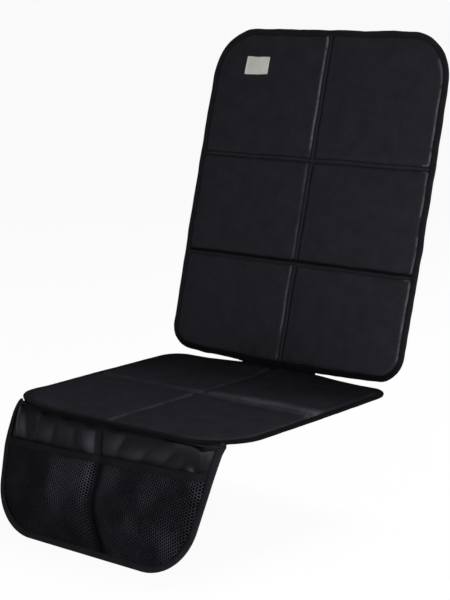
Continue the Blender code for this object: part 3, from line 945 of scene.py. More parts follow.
    def painted_light(self, u: float, v: float) -> float:
        """Painted light: how pale the cloth is painted as a highlight, or, below 0, how dark it is painted as
        shade in a groove and towards the hinge.

        Args:
            u: Place across the flat pattern.
            v: Place up the flat pattern.

        Returns:
            The tone, from about -1 to 1.
        """
        depth = self.depth(u, v)
        rim = smooth((self.outline.depth(u, v) - TAPE_REACH) / (2 * MM))
        row = sum(v > seam for seam in self.cross_seams)
        inner, outer = abs(u) - LONG_CHANNEL / 2, self.half - MARGIN - abs(u)
        if inner < 3.5 * MM:
            share = self.shoulder_highlights[row] * (1.0 if u < 0 else 0.2)
        else:
            share = self.outer * (1.0 if u > 0 else 0.2) if outer < 12 * MM else 0.0
        broad, fine = ripple(u, v, 34 * MM, self.seed + 8), ripple(u, v, 7 * MM, self.seed + 12)
        patchy = min(1.0, max(0.0, 0.58 + 1.2 * broad + 0.9 * fine))
        pale = share * patchy * math.exp(-((depth - self.highlight_at) / self.highlight_half) ** 2)
        sewn = math.exp(-((depth + self.groove) / self.shade_half) ** 2)
        dark = sewn * self.upright_groove_shade * (1.0 if u > 0 else 0.4) if inner < 0 else 0.0
        for seam, strengths in zip(self.cross_seams, self.groove_shades):
            for side, strength in zip((-1, 1), strengths):
                off = v - seam - side * (CROSS_CHANNEL / 2 - self.groove)
                reach = self.shade_half * (1 + 2 * strength ** 2)
                dark = max(dark, strength * math.exp(-(off / reach) ** 2))
        right = self.rightward(u)
        width = self.band * (0.3 + 0.7 * right)
        tone = self.band_highlights[0] + (self.band_highlights[1] - self.band_highlights[0]) * right
        for seam in self.cross_seams:
            off = (v - seam) / width
            pale = max(pale, tone * (0.6 + 0.4 * patchy) * math.exp(-(off - 0.3) ** 2))
            dark = max(dark, 0.5 * tone * right * math.exp(-((off + 1.35) / 0.35) ** 2))
        return (pale - max(dark, self.hinge_shade(u, v))) * rim

    def hinge_shade(self, u: float, v: float) -> float:
        """Painted shade in the creases where the cloth is gathered into the hinge, and a broad painted shadow
        of the backrest over the cloth near it.
        """
        middle = smooth(1.25 - abs(u) / self.gather_half)
        creases = 0.5 + 0.9 * ripple(u, v, 9 * MM, self.seed + 5, 3.0)
        far = abs(v - self.hinge)
        side = 0.75 + 0.25 * smooth(u / (120 * MM))
        patches = 1 + 0.5 * ripple(u, v, 55 * MM, self.seed + 6)
        broad = self.hinge_shadow * side * patches * smooth(1.5 - far / self.hinge_shadow_run)
        return broad + 0.9 * middle * max(0.0, creases) * math.exp(-far / self.crease_shade_run)

    def backing_level(self, u: float, v: float) -> float:
        """Level of the backing's outer side: flat, pinched up to the binding and into the channels."""
        edge = self.outline.depth(u, v)
        pinch = LINING_RIM * smooth(1 - (edge - TAPE_REACH - CLEAR) / (3 * MM))
        groove = self.rear_groove * smooth(-self.depth(u, v) / (3.5 * MM)) if edge > MARGIN else 0.0
        return max(pinch, groove)

    def marks(self) -> tuple[list[float], list[float]]:
        """Where the pattern needs close lines: across, and up."""
        across = [s * x for s in (-1, 1) for x in (LONG_CHANNEL / 2, self.half - MARGIN)]
        upward = [self.low + MARGIN, self.high - MARGIN]
        upward += [v + s * CROSS_CHANNEL / 2 for v in self.cross_seams for s in (-1, 1)]
        return across, upward

    def cloth(self, level: Callable[[float, float], float], fine: float, coarse: float) -> bmesh.types.BMesh:
        """A cloth cut to the panel's shape and raised to its level.

        Args:
            level: Gives the cloth's level at a place across and up.
            fine: Step of its mesh at the channels.
            coarse: Step of its mesh elsewhere.

        Returns:
            The cloth's mesh.
        """
        across, upward = self.marks()
        columns = stations(-self.half, self.half, across, fine, coarse)
        bm = cloth_grid(columns, stations(self.low, self.high, upward, fine, coarse))
        self.outline.trim(bm, CLOTH_EDGE)
        painted_light = bm.verts.layers.float.new(PAINTED_LIGHT)
        for vertex in bm.verts:
            u, v = vertex.co.x, vertex.co.y
            vertex[painted_light] = self.painted_light(u, v)
            vertex.co = self.put(Vector((u, v)), level(u, v))
        face_out(bm)
        return bm

    def seam_rows(self) -> list[tuple[Vector, Vector]]:
        """The ends of each row of stitches along the channels, on the flat pattern."""
        inset = self.groove
        reach = TAPE_REACH + MM
        rows = []
        for side in (-1, 1):
            u = side * (LONG_CHANNEL / 2 - inset)
            rows.append((Vector((u, self.low + reach)), Vector((u, self.high - reach))))
            for seam in self.cross_seams:
                v = seam + side * (CROSS_CHANNEL / 2 - inset)
                rows.append((Vector((reach - self.half, v)), Vector((self.half - reach, v))))
        return rows

    def stitches(self, binding: Binding, look: bpy.types.Material) -> bpy.types.Object:
        """The stitches of the channels and of the binding, on both faces."""
        seams = Seams()
        for start, end in self.seam_rows():
            count = round((end - start).length / (2 * MM))
            flat = [start.lerp(end, k / count) for k in range(count + 1)]
            for level, out in ((lambda u, v: self.cloth_level(u, v) + CLOTH, 1), (self.backing_level, -1)):
                path = [self.put(p, level(p.x, p.y)) for p in flat]
                seams.sew(path, Vector((0, 0, out)))
        seams.sew(binding.seam_path(RIM_TOP + 0.1 * MM))
        seams.sew(binding.seam_path(CLEAR), Vector((0, 0, -1)))
        return seams.finish(self.name + "_stitches", look, self.plane, Slot.TAPE)

    def build(self, looks: "Looks") -> None:
        """Builds and dresses the panel's pieces.

        Args:
            looks: The part's materials.
        """
        face = make_piece(
            self.cloth(self.cloth_level, 1.2 * MM, 3.6 * MM), self.name + "_face_cloth",
            looks.cover, self.plane, Slot.COVER, CLOTH,
        )
        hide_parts(self.name + "_cover")
        back = make_piece(
            self.cloth(self.backing_level, 1.8 * MM, 6.0 * MM), self.name + "_backing_cloth",
            looks.backing, self.plane, Slot.LINING, CLOTH,
        )
        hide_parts(self.name + "_lining")
        binding = Binding(self.outline, CLEAR, HIGH_LEG, True, self.put)
        # The edge tape is painted dark as shade, darker still along its lower edge.
        band = tint(binding.mesh(self.seed), *self.tape_shades)
        tape = make_piece(band, self.name + "_edge_tape", looks.tape, self.plane, Slot.TAPE)
        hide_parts(self.name + "_binding")
        threads = self.stitches(binding, looks.thread)
        pads = [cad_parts[f"{self.name}_foam_{key}"] for key in self.cells]
        for pad in pads:
            pad.data.materials.clear()
            pad.data.materials.append(looks.foam)
        area = self.outline.area()


def cell_pair(
    row: str, half: float, span: tuple[float, float], radii: tuple[float, float]
) -> dict[str, Outline]:
    """The two padded cells of a row.

    Args:
        row: The row's name.
        half: Half the panel's width.
        span: The row's lower and upper edges.
        radii: The radii of its outer corners, at its lower and upper edges.

    Returns:
        The left and the right cell, by their names.
    """
    inner, outer = LONG_CHANNEL / 2, half - MARGIN
    low_radius, high_radius = radii
    left = (high_radius, low_radius, CELL_RADIUS, CELL_RADIUS)
    return {
        row + "_left": Outline.box(-outer, -inner, *span, left),
        row + "_right": Outline.box(inner, outer, *span, left[::-1]),
    }


def backrest() -> QuiltedPanel:
    """The backrest: two columns and three rows of cells, leaning back from the seat's rear edge."""
    width, height, recline = 489 * MM, 576 * MM, math.radians(15.1)
    seat_rear, gap = SEAT_DEPTH / 2, 15 * MM
    top, foot = 84 * MM, 41 * MM
    seams = (172 * MM, 350 * MM)
    half = width / 2
    tilt = math.pi / 2 - recline
    plane = Plane(Vector((0, seat_rear, RIM_MIDDLE)), tilt)
    plane = Plane(plane.origin + plane.up * gap - plane.front * RIM_MIDDLE, tilt)
    cells = {}
    lows = (MARGIN, *(s + CROSS_CHANNEL / 2 for s in seams))
    highs = (*(s - CROSS_CHANNEL / 2 for s in seams), height - MARGIN)
    for row, low, high in zip(("bottom", "middle", "top"), lows, highs):
        low_radius = foot - MARGIN if row == "bottom" else CELL_RADIUS
        high_radius = top - MARGIN if row == "top" else CELL_RADIUS
        cells |= cell_pair(row, half, (low, high), (low_radius, high_radius))
    outline = Outline.box(-half, half, 0, height, (top, foot, foot, top))
    return QuiltedPanel(
        "back", plane, outline, cells, seams, bulge=2.5 * MM, hinge=0.0, bow=-7.5 * MM, lift=0.0, curl=0.0,
        seed=3.1, shoulder_highlights=(0.45, 0.25, 1.0), groove_shades=((0.2, 1.0), (0.35, 0.45)), upright_groove_shade=0.75,
        band_highlights=(0.06, 0.06), band=3.0 * MM, ridge=0.0, hinge_shadow=0.0, outer=0.8, tape_shades=(-0.1, -0.85),
    )


def seat() -> QuiltedPanel:
    """The seat: two columns and two rows of cells, lying level."""
    width, rear, front = 470 * MM, 37 * MM, 93 * MM
    half, far = width / 2, SEAT_DEPTH / 2
    seam = far - 204.5 * MM
    rear_row = (seam + CROSS_CHANNEL / 2, far - MARGIN)
    front_row = (MARGIN - far, seam - CROSS_CHANNEL / 2)
    cells = cell_pair("rear", half, rear_row, (CELL_RADIUS, rear - MARGIN))
    cells |= cell_pair("front", half, front_row, (front - MARGIN, CELL_RADIUS))
    outline = Outline.box(-half, half, -far, far, (rear, front, front, rear))
    return QuiltedPanel(
        "seat", Plane(Vector(), 0.0), outline, cells, (seam,), bulge=1.0 * MM, hinge=far, bow=3.0 * MM,
        lift=5.0 * MM, curl=CURL, seed=11.7, shoulder_highlights=(0.16, 0.0), groove_shades=((0.15, 0.1),), upright_groove_shade=0.1,
        band_highlights=(0.12, 0.4), band=21.0 * MM, ridge=3.6 * MM, hinge_shadow=0.38, outer=0.1, tape_shades=(-0.75, -0.75),
        puff=2.0 * MM,
    )


@dataclass
class HingeStrip:
    """The slack strip of cloth sewn between the seat's rear edge and the backrest's lower edge."""

    seat: QuiltedPanel
    back: QuiltedPanel
    width: float = 160 * MM
    shift: float = -7 * MM  # the strip is sewn a little to the left of the middle
    cloth: float = 1.6 * MM
    fullness: float = 13.0 * MM  # how strongly the slack strip bows to the rear
    steps: int = 16
    columns: int = 90
    fold: float = 2.2 * MM
    waist: float = 0.03  # how far its sides are drawn in, as a share of its width
    shadow: float = 0.8  # how dark its cloth is painted as shadow, deep in the gap

    def line(self, across: float) -> list[Vector]:
        """The strip's side view at a place across, from the seat to the backrest."""
        seat_rim = self.seat.plane.matrix @ self.seat.put(Vector((across, self.seat.hinge)), RIM_MIDDLE)
        back_rim = self.back.plane.matrix @ self.back.put(Vector((across, self.back.hinge)), RIM_MIDDLE)
        start = Vector((across, seat_rim.y + CLEAR, seat_rim.z))
        end = Vector((across, back_rim.y, back_rim.z)) - self.back.plane.up * CLEAR
        rearward = Vector((0, self.fullness, 0))
        pulls = (start, start + rearward, end + rearward * 0.6, end)
        found = []
        for k in range(self.steps + 1):
            t = k / self.steps
            weights = ((1 - t) ** 3, 3 * t * (1 - t) ** 2, 3 * t * t * (1 - t), t ** 3)
            found.append(sum((p * w for p, w in zip(pulls, weights)), Vector()))
        return found

    def build(self, looks: "Looks") -> None:
        """Builds and dresses the strip."""
        places = [self.shift + self.width * (k / self.columns - 0.5) for k in range(self.columns + 1)]
        lines = [self.line(x) for x in places]
        run = distances(lines[self.columns // 2])
        bm = cloth_grid(list(range(len(places))), list(range(self.steps + 1)))
        pattern = bm.loops.layers.uv[PATTERN]
        for face in bm.faces:
            for loop in face.loops:
                i, k = round(loop.vert.co.x), round(loop.vert.co.y)
                loop[pattern].uv = (places[i] / MM, run[k] / MM)
        # Painted shadow: the whole strip is painted dark.
        tint(bm, -self.shadow)
        for vertex in bm.verts:
            i, k = round(vertex.co.x), round(vertex.co.y)
            line = lines[i]
            along = (line[min(k + 1, self.steps)] - line[max(k - 1, 0)]).normalized()
            out = Vector((0, -along.z, along.y))
            free = math.sin(math.pi * k / self.steps)
            wave = self.fold * free * ripple(places[i], run[k], 9 * MM, 5.0, 3.0)
            drawn = Vector((-places[i] * self.waist * free, 0, 0))
            vertex.co = line[k] + drawn + out * (wave - self.cloth / 2)
        bm.normal_update()
        if sum(f.normal.y for f in bm.faces) > 0:
            bmesh.ops.reverse_faces(bm, faces=bm.faces)
        piece = make_piece(bm, "hinge_cloth", looks.cover, Plane(Vector(), 0.0), Slot.COVER, self.cloth)
        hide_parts("hinge_strip")


@dataclass
class Label:
    """The small label on the backrest's top left cell: a bare field inside a raised border."""

    panel: QuiltedPanel
    width: float = 50 * MM
    height: float = 32 * MM
    border: float = 2.5 * MM
    rim: float = 0.8 * MM
    field: float = 0.35 * MM
    from_left: float = 73 * MM
    from_top: float = 51 * MM
    lift: float = 0.1 * MM  # off the cloth
    skirt: float = 0.3 * MM  # thickness of its edge

    def build(self, looks: "Looks") -> None:
        """Builds and dresses the label."""
        left = self.from_left - self.panel.half
        low = self.panel.high - self.from_top - self.height
        shape = Outline.box(left, left + self.width, low, low + self.height, (1.4 * MM,) * 4)
        lines = []
        for start, length in ((left, self.width), (low, self.height)):
            marks = [start + self.border, start, start + length - self.border, start + length]
            lines.append(stations(start, start + length, marks, 0.3 * MM, 2.0 * MM))
        bm = cloth_grid(*lines)
        shape.trim(bm, 0.0, 6)
        for vertex in bm.verts:
            u, v = vertex.co.x, vertex.co.y
            edge = shape.depth(u, v)
            ridge = smooth(edge / (0.5 * MM)) * smooth((self.border - edge) / (0.6 * MM) + 0.5)
            level = self.panel.cloth_level(u, v) + CLOTH + self.lift
            level += self.field * smooth(edge / (0.3 * MM)) + (self.rim - self.field) * ridge
            vertex.co = self.panel.put(vertex.co.xy, level)
        face_out(bm)
        skirt = bmesh.ops.extrude_edge_only(bm, edges=[e for e in bm.edges if e.is_boundary])
        lowered = [g for g in skirt["geom"] if isinstance(g, bmesh.types.BMVert)]
        bmesh.ops.translate(bm, vec=(0, 0, -self.skirt), verts=lowered)
        bmesh.ops.holes_fill(bm, edges=[e for e in bm.edges if e.is_boundary], sides=0)
        bmesh.ops.recalc_face_normals(bm, faces=bm.faces)
        piece = make_piece(bm, "silver_label", looks.silver, self.panel.plane, Slot.LABEL)
        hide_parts("label_patch")


@dataclass(frozen=True)
class Fold:
    """A soft upright fold of the flap's slack cloth."""

    u: float  # where its ridge crosses its middle height, millimetres
    v: float
    half_width: float
    half_length: float
    height: float
    slant: float = 0.0  # how far the ridge moves across for each unit that it rises
    shine: float = 0.0  # painted highlight on its right slope; below 0, painted shade in its valley

    def place(self, u: float, v: float) -> tuple[float, float]:
        """A point's place across the fold and along it, as shares of its half width and half length."""
        up = v / MM - self.v
        return (u / MM - self.u - self.slant * up) / self.half_width, up / self.half_length

    def level(self, u: float, v: float) -> float:
        """How far it stands forward at a point, in metres."""
        across, along = self.place(u, v)
        return self.height * MM * math.exp(-across * across - along * along)

    def tone(self, u: float, v: float) -> float:
        """The painted highlight, or painted shade, that it puts on the cloth at a point."""
        across, along = self.place(u, v)
        lit = smooth((1.15 - across) / 0.3) * math.exp(-((across - 0.7) / 1.1) ** 2)
        return self.shine * lit * math.exp(-along * along)


@dataclass
class Flap:
    """The front flap: coated cloth, edge binding, seam tape and a net pocket in two halves."""

    top_width: float = 442 * MM
    foot_width: float = 386 * MM
    length: float = 199 * MM
    left_radius: float = 26 * MM
    right_radius: float = 8 * MM
    foot_radius: float = 88 * MM
    lean: float = math.radians(18.8)
    setback: float = 11 * MM
    seam_tape: float = 9 * MM
    seam_heel: float = 9 * MM  # how far the seam tape reaches back under the seat
    hem_drop: float = 50 * MM
    hem_height: float = 12 * MM
    hem_tilt: float = 8 * MM  # how far the hem's right end hangs above its middle, and its left end below
    hem_arch: float = 2.5 * MM
    hem_tone: float = -0.35
    ear: float = 6 * MM  # how far the top corners stand up in front of the seat's round corners
    ear_start: float = 189 * MM
    ear_run: float = 16 * MM
    corner_start: float = 142 * MM  # where the seat's front edge begins to turn back
    corner_radius: float = 93 * MM
    corner_slack: float = 14 * MM  # how far the seat's edge turns back before the flap follows it
    corner_back: float = 20 * MM  # the most that the flap follows it
    corner_reach: float = 75 * MM  # how far down the flap its corners' shape is felt
    corner_pull: float = 8 * MM  # how far the right side is drawn inwards below its corner
    pull_start: float = 130 * MM
    pull_run: float = 80 * MM
    corner_flare: float = 0.45  # the share of this that is let out again at the corner itself
    flare_reach: float = 20 * MM
    roll: float = 6.5 * MM  # how far the fold under the seat's edge stands forward
    pucker: float = 0.9 * MM  # height of the net's puckers at its foot
    pucker_run: float = 22 * MM
    pocket_depth: float = 12 * MM
    seam_band: float = 5 * MM
    seam_stray: float = 40 * MM  # how far the middle seam strays to the right at its foot
    seam_start: float = -6 * MM
    stray_start: float = 115 * MM  # how far down it begins to stray
    stray_run: float = 90 * MM
    mesh_width: float = 3.9 * MM  # from one upright of the net to the next
    mesh_rise: float = 2.2 * MM  # half the height of a mesh
    zigzag: float = 0.64 * MM
    bar: float = 0.9 * MM
    folds: tuple[Fold, ...] = (
        Fold(-184, -33, 10, 18, 8.0, -0.35, 0.55), Fold(-143, -30, 10, 24, 6.0, 0.1, 0.0),
        Fold(-128, -34, 15, 15, 5.0, 0.1, 0.35), Fold(-86, -26, 17, 22, 5.0, -0.2, 0.2),
        Fold(-36, -32, 14, 20, 9.0, -0.22, 0.75), Fold(-13, -26, 4, 40, -3.0, -0.27, -0.8),
        Fold(12, -28, 18, 18, 6.0, 0.3, 0.4), Fold(54, -36, 24, 12, 5.0, 0.8, 0.4),
        Fold(102, -28, 26, 14, 5.0, 0.8, 0.32), Fold(140, -38, 12, 16, 4.0, 0.5, 0.1),
        Fold(173, -41, 8, 6, 6.0, -0.4, 1.0),
    )
    shade_drop: float = 14 * MM  # how far down the flap is painted with shadow under the seat's edge

    @property
    def plane(self) -> Plane:
        """The plane of the flap's rear face, with its origin in the middle of the top edge."""
        tilt = math.pi / 2 - self.lean
        forward = math.cos(tilt)
        return Plane(Vector((0, self.setback - SEAT_DEPTH / 2, -(NET_LEG + TAPE) * forward)), tilt)

    @property
    def outline(self) -> Outline:
        """The flap's pattern, hanging down from its top edge at height 0."""
        top, foot = self.top_width / 2, self.foot_width / 2
        corners = ((-top, 0), (-foot, -self.length), (foot, -self.length), (top, 0))
        return Outline(corners, (self.left_radius, self.foot_radius, self.foot_radius, self.right_radius))

    def edge_reach(self, u: float, v: float) -> float:
        """How far inside the flap's sides and foot a point lies."""
        return min(self.sides.at(v) - abs(u), v + self.length)

    def turned_back(self, u: float) -> float:
        """How far the top edge is drawn back, to follow the seat's round corner."""
        beyond = min(self.corner_radius, max(0.0, abs(u) - self.corner_start))
        seat_edge = self.corner_radius - math.sqrt(self.corner_radius ** 2 - beyond ** 2)
        return self.corner_back * (1 - math.exp(-max(0.0, seat_edge - self.corner_slack) / self.corner_back))

    def lifted(self, u: float) -> float:
        """How far the top edge is lifted at a place across, where the seat's left corner curls up."""
        return CURL * smooth((-u - CURL_START) / CURL_RUN)

    def put(self, flat: Vector, level: float) -> Vector:
        """A point of the flat pattern, at a level, with the top corners drawn back to the seat's."""
        high = smooth(1 + flat.y / self.corner_reach)
        back = self.turned_back(flat.x) * high
        ear = self.ear * smooth((abs(flat.x) - self.ear_start) / self.ear_run)
        rise = (ear + self.lifted(flat.x)) * high
        drawn = 1 - self.corner_flare * smooth(1 + flat.y / self.flare_reach)
        pull = self.corner_pull * smooth((flat.x - self.pull_start) / self.pull_run) * high * drawn
        up, forward = back * math.sin(self.lean), -back * math.cos(self.lean)
        return Vector((flat.x - pull, flat.y + rise + up, level + forward))

    def hem_shift(self, u: float) -> float:
        """How far the net's top edge hangs above its height on the flat pattern."""
        share = u / (self.top_width / 2)
        return MM + self.hem_tilt * share + self.hem_arch * share * share + MM * ripple(u, 0, 60 * MM, 4.4)

    def drape(self, u: float, v: float, level: float) -> Vector:
        """Where a point of the net's flat pattern hangs.

        Args:
            u: Place across the pattern.
            v: Place up the pattern.
            level: How far it stands off the flap.

        Returns:
            The point in the flap's plane.
        """
        hung = v + self.hem_shift(u) * min(1.0, max(0.0, (v + self.length) / (self.length - self.hem_drop)))
        side = self.sides.at(v)
        stray = self.seam_start + self.seam_stray * smooth((-self.stray_start - v) / self.stray_run)
        moved = u * self.sides.at(hung) / side + stray * max(0.0, 1 - abs(u) / side)
        return self.put(Vector((moved, hung)), level)

    def top_fold(self, u: float, v: float) -> float:
        """The fold that rolls forward under the seat's edge, near the right corner."""
        line = -4 * MM - 10 * MM * smooth((u - 165 * MM) / (50 * MM))
        ends = smooth((u - 105 * MM) / (40 * MM)) * smooth((212 * MM - u) / (10 * MM))
        return self.roll * ends * smooth((line - v) / (4 * MM) + 0.5) * math.exp((v - line) / (16 * MM))

    def crumple(self, u: float, v: float) -> float:
        """How far the slack cloth stands forward of its flat plane."""
        hold = smooth((self.sides.at(v) - abs(u) - TAPE_REACH) / (10 * MM))
        top = smooth(-v / (14 * MM))
        fine = 0.5 + 0.5 * ripple(u - 0.2 * v, v, 16 * MM, 8.9, 2.0)
        folds = sum(fold.level(u, v) for fold in self.folds)
        loose = (folds + 0.9 * MM * fine) * top + self.top_fold(u, min(v, 0.0))
        below = smooth((self.hem_shift(u) - self.hem_drop - v + 5 * MM) / (7 * MM))
        behind = min(loose, 0.7 * self.stand_off(u, v)) * smooth((v + self.length - TAPE_REACH) / (25 * MM))
        return (loose + (behind - loose) * below) * hold

    def cloth(self) -> bmesh.types.BMesh:
        """The flap's single cloth, crumpled between the hem and the seat."""
        half = self.top_width / 2
        columns = [half * (k / 120 - 1) for k in range(241)]
        rows = stations(-self.length, 0.0, [-0.5 * self.hem_drop, -0.1 * self.hem_drop], 1.2 * MM, 3.4 * MM)
        bm = cloth_grid(columns, rows)
        self.outline.trim(bm, CLOTH_EDGE, 16)
        painted_light = bm.verts.layers.float.new(PAINTED_LIGHT)
        for vertex in bm.verts:
            vertex[painted_light] = self.tone(vertex.co.x, vertex.co.y)
            vertex.co = self.put(vertex.co.xy, self.crumple(vertex.co.x, vertex.co.y))
        face_out(bm)
        return bm

    def tone(self, u: float, v: float) -> float:
        """Painted highlights on the cloth's folds and on the roll under the seat's edge, or, below 0, painted
        shadow under the seat's edge and painted shade behind the net.
        """
        pale = sum(fold.tone(u, v) for fold in self.folds)
        rolled = self.top_fold(u, v) / self.roll
        drop = self.shade_drop * (1 - 0.5 * smooth((u + 60 * MM) / (140 * MM)))
        dark = smooth(1.4 + v / drop) * (1 - rolled)
        behind = smooth((-self.hem_drop - v) / (6 * MM))
        return max(-1.0, (pale + 0.6 * rolled ** 3) * (1 - behind) - dark - 0.75 * behind)

    def net_painted_light(self, u: float, v: float) -> float:
        """The net's painted light: painted shade in the valley right of its middle seam, painted highlights
        on the ridge left of it and near its right side; it is also darker towards its left side and low in
        the middle, with random patches.
        """
        up = smooth((v + 150 * MM) / (90 * MM))
        valley = math.exp(-((u - 5 * MM) / (11 * MM)) ** 2)
        ridge = math.exp(-((u + 13 * MM) / (8 * MM)) ** 2) * (0.15 + 0.4 * up)
        left = 0.5 * smooth((-u - 80 * MM) / (100 * MM))
        right = 0.35 * smooth((u - 150 * MM) / (30 * MM)) * max(0.0, ripple(u, v, 12 * MM, 3.9))
        low = 0.3 * smooth((-v - 110 * MM) / (70 * MM)) * smooth((30 * MM - u) / (80 * MM))
        patches = 0.5 * ripple(u, v, 38 * MM, 2.6, 1.4)
        return ridge + right + min(patches, 0.3) - 0.85 * valley - left - low

    def stand_off(self, u: float, v: float) -> float:
        """How far the net stands off the flap: nothing at the middle seam, the sides and the foot."""
        foot = -self.length + TAPE_REACH + 2 * CLEAR
        seam = self.seam_band / 2
        inner = self.openings.at(v)
        share = (abs(u) - seam) / max(inner - seam, MM)
        if not 0 < share < 1:
            return 0.0
        climb = min(1.0, max(0.0, (v - foot) / (0.3 * self.length)))
        rise_run = (12 if u > 0 else 13) * MM
        across = 1 - math.exp(-(abs(u) - seam) / rise_run)
        across *= 1 - math.exp(-(inner - abs(u)) / (10 * MM))
        mouth = 1 - 0.45 * smooth((v + 100 * MM) / (50 * MM))
        slack = 1 + 0.25 * ripple(u, v, 45 * MM, 6.1, 1.6)
        fade = math.exp((foot - v) / self.pucker_run) * across
        puckers = self.pucker * max(0.0, ripple(u, v, 9 * MM, 7.7, 2.5)) * fade
        return self.pocket_depth * across * math.sin(climb * math.pi / 2) * slack * mouth + puckers

    def net(self) -> bmesh.types.BMesh:
        """The knitted net: six-sided meshes between zigzag uprights."""
        half = self.top_width / 2
        across = 2 * round(half / self.mesh_width)
        upward = 2 * round((self.length - self.hem_drop) / self.mesh_rise / 2)
        width, rise = 2 * half / across, (self.length - self.hem_drop) / upward
        bm = cloth_grid(
            [width * k - half for k in range(across + 1)],
            [rise * k - self.length for k in range(upward + 1)],
        )

        def parity(vertex: bmesh.types.BMVert) -> int:
            return (round((vertex.co.x + half) / width) + round((vertex.co.y + self.length) / rise)) % 2

        rungs = []
        for edge in bm.edges:
            first = min(edge.verts, key=lambda v: v.co.x)
            level = abs(edge.verts[0].co.y - edge.verts[1].co.y) < rise / 2
            if level and not edge.is_boundary and parity(first):
                rungs.append(edge)
        shifts = {vertex: (-1 if parity(vertex) else 1) * self.zigzag for vertex in bm.verts}
        bmesh.ops.dissolve_edges(bm, edges=rungs, use_verts=False)
        for vertex, shift in shifts.items():
            if vertex.is_valid:
                vertex.co.x += shift
        self.outline.trim(bm, CLOTH_EDGE, 10)
        top = -self.hem_drop - TAPE - CLEAR
        bmesh.ops.bisect_plane(
            bm, geom=bm.verts[:] + bm.edges[:] + bm.faces[:], dist=0.02 * MM,
            plane_co=(0, top, 0), plane_no=(0, 1, 0), clear_outer=True,
        )
        smallest = (self.bar * 1.6) ** 2
        gaps = []
        for face in bm.faces:
            middle = face.calc_center_median()
            if self.edge_reach(middle.x, middle.y) > TAPE_REACH - 2 * MM and face.calc_area() > smallest:
                gaps.append(face)
        bm.normal_update()
        bmesh.ops.inset_individual(bm, faces=gaps, thickness=self.bar / 2, use_even_offset=True)
        bmesh.ops.delete(bm, geom=gaps, context="FACES")
        painted_light = bm.verts.layers.float.new(PAINTED_LIGHT)
        for vertex in bm.verts:
            u, v = vertex.co.x, vertex.co.y
            vertex[painted_light] = self.net_painted_light(u, v)
            vertex.co = self.drape(u, v, NET_FLOOR + self.stand_off(u, v))
        face_out(bm)
        return bm

    def hem(self) -> bmesh.types.BMesh:
        """The tape folded over the net's top edge."""
        top, low = -self.hem_drop, -self.hem_drop - self.hem_height
        front, lip = NET + CLEAR, 0.35 * MM
        section = [
            (low, front), (low, front + TAPE - lip), (low + lip, front + TAPE), (low + 4 * MM, front + TAPE),
            (low + 8 * MM, front + TAPE), (top - lip, front + TAPE), (top, front + TAPE - lip), (top, lip),
            (top - lip, 0.0), (top - TAPE, 0.0), (top - TAPE, front), (low + 6 * MM, front), (low, front),
        ]
        count = 220
        shares = [2 * k / count - 1 for k in range(count + 1)]

        def place(i: int, j: int) -> Vector:
            v, w = section[j]
            u = shares[i] * self.openings.at(v)
            return self.drape(u, v, NET_FLOOR + self.stand_off(u, v) + w)

        along = distances([Vector((s * self.openings.at(top), 0)) for s in shares])
        return strip(along, distances([Vector(p) for p in section]), place)

    def seam_tape_mesh(self) -> bmesh.types.BMesh:
        """The tape that carries the flap: sewn under the seat's edge, with a leg behind the flap."""
        plane = self.plane

        def at_level(forward: float, level: float) -> Vector:
            point = plane.origin + plane.front * forward
            return point + plane.up * ((level - point.z) / plane.up.z)

        hang = plane.up * self.seam_tape
        rear_top = at_level(-CLEAR - TAPE, 0)
        tip = Vector((0, rear_top.y - self.seam_tape, 0))
        inner, outer = at_level(-CLEAR, -TAPE), at_level(-CLEAR - TAPE, -TAPE)
        heel, down = rear_top + Vector((0, self.seam_heel, 0)), Vector((0, 0, -TAPE))
        low_out = plane.origin - plane.front * (CLEAR + TAPE) - hang
        low_in = plane.origin - plane.front * CLEAR - hang
        section = [
            tip, heel, heel + down, outer, outer.lerp(low_out, 0.5), low_out, low_in, low_in.lerp(inner, 0.5),
            inner, tip + down, tip,
        ]
        left, right = self.left_radius - self.top_width / 2, self.top_width / 2 - self.right_radius
        steps = 90

        def place(i: int, j: int) -> Vector:
            x = left + (right - left) * i / steps
            drawn = self.put(Vector((x, 0)), 0.0).x
            back, lift = self.turned_back(x), plane.up * self.lifted(x)
            return Vector((drawn, section[j].y + back, section[j].z)) + lift

        return strip([(right - left) * k / steps for k in range(steps + 1)], distances(section), place)

    def stitches(self, binding: Binding, look: bpy.types.Material) -> bpy.types.Object:
        """The stitches of the binding, the hem and the middle seam."""
        seams = Seams()
        seams.sew(binding.seam_path(NET_LEG + TAPE + 0.1 * MM))
        seams.sew(binding.seam_path(-CLEAR - TAPE), Vector((0, 0, -1)))
        low = -self.hem_drop - self.hem_height + 2.2 * MM
        reach = self.openings.at(low) - MM
        path = []
        for k in range(201):
            u = reach * (k / 100 - 1)
            path.append(self.drape(u, low, NET_FLOOR + self.stand_off(u, low) + NET + CLEAR + TAPE))
        seams.sew(path)
        for side in (-1, 1):
            u = side * 1.4 * MM
            ends = (-self.length + TAPE_REACH + MM, -self.hem_drop - self.hem_height)
            for level, out in ((NET_FLOOR + NET, 1), (0.0, -1)):
                row = [self.drape(u, ends[0] + (ends[1] - ends[0]) * k / 40, level) for k in range(41)]
                seams.sew(row, Vector((0, 0, out)))
        return seams.finish("flap_stitches", look, self.plane, Slot.TAPE)

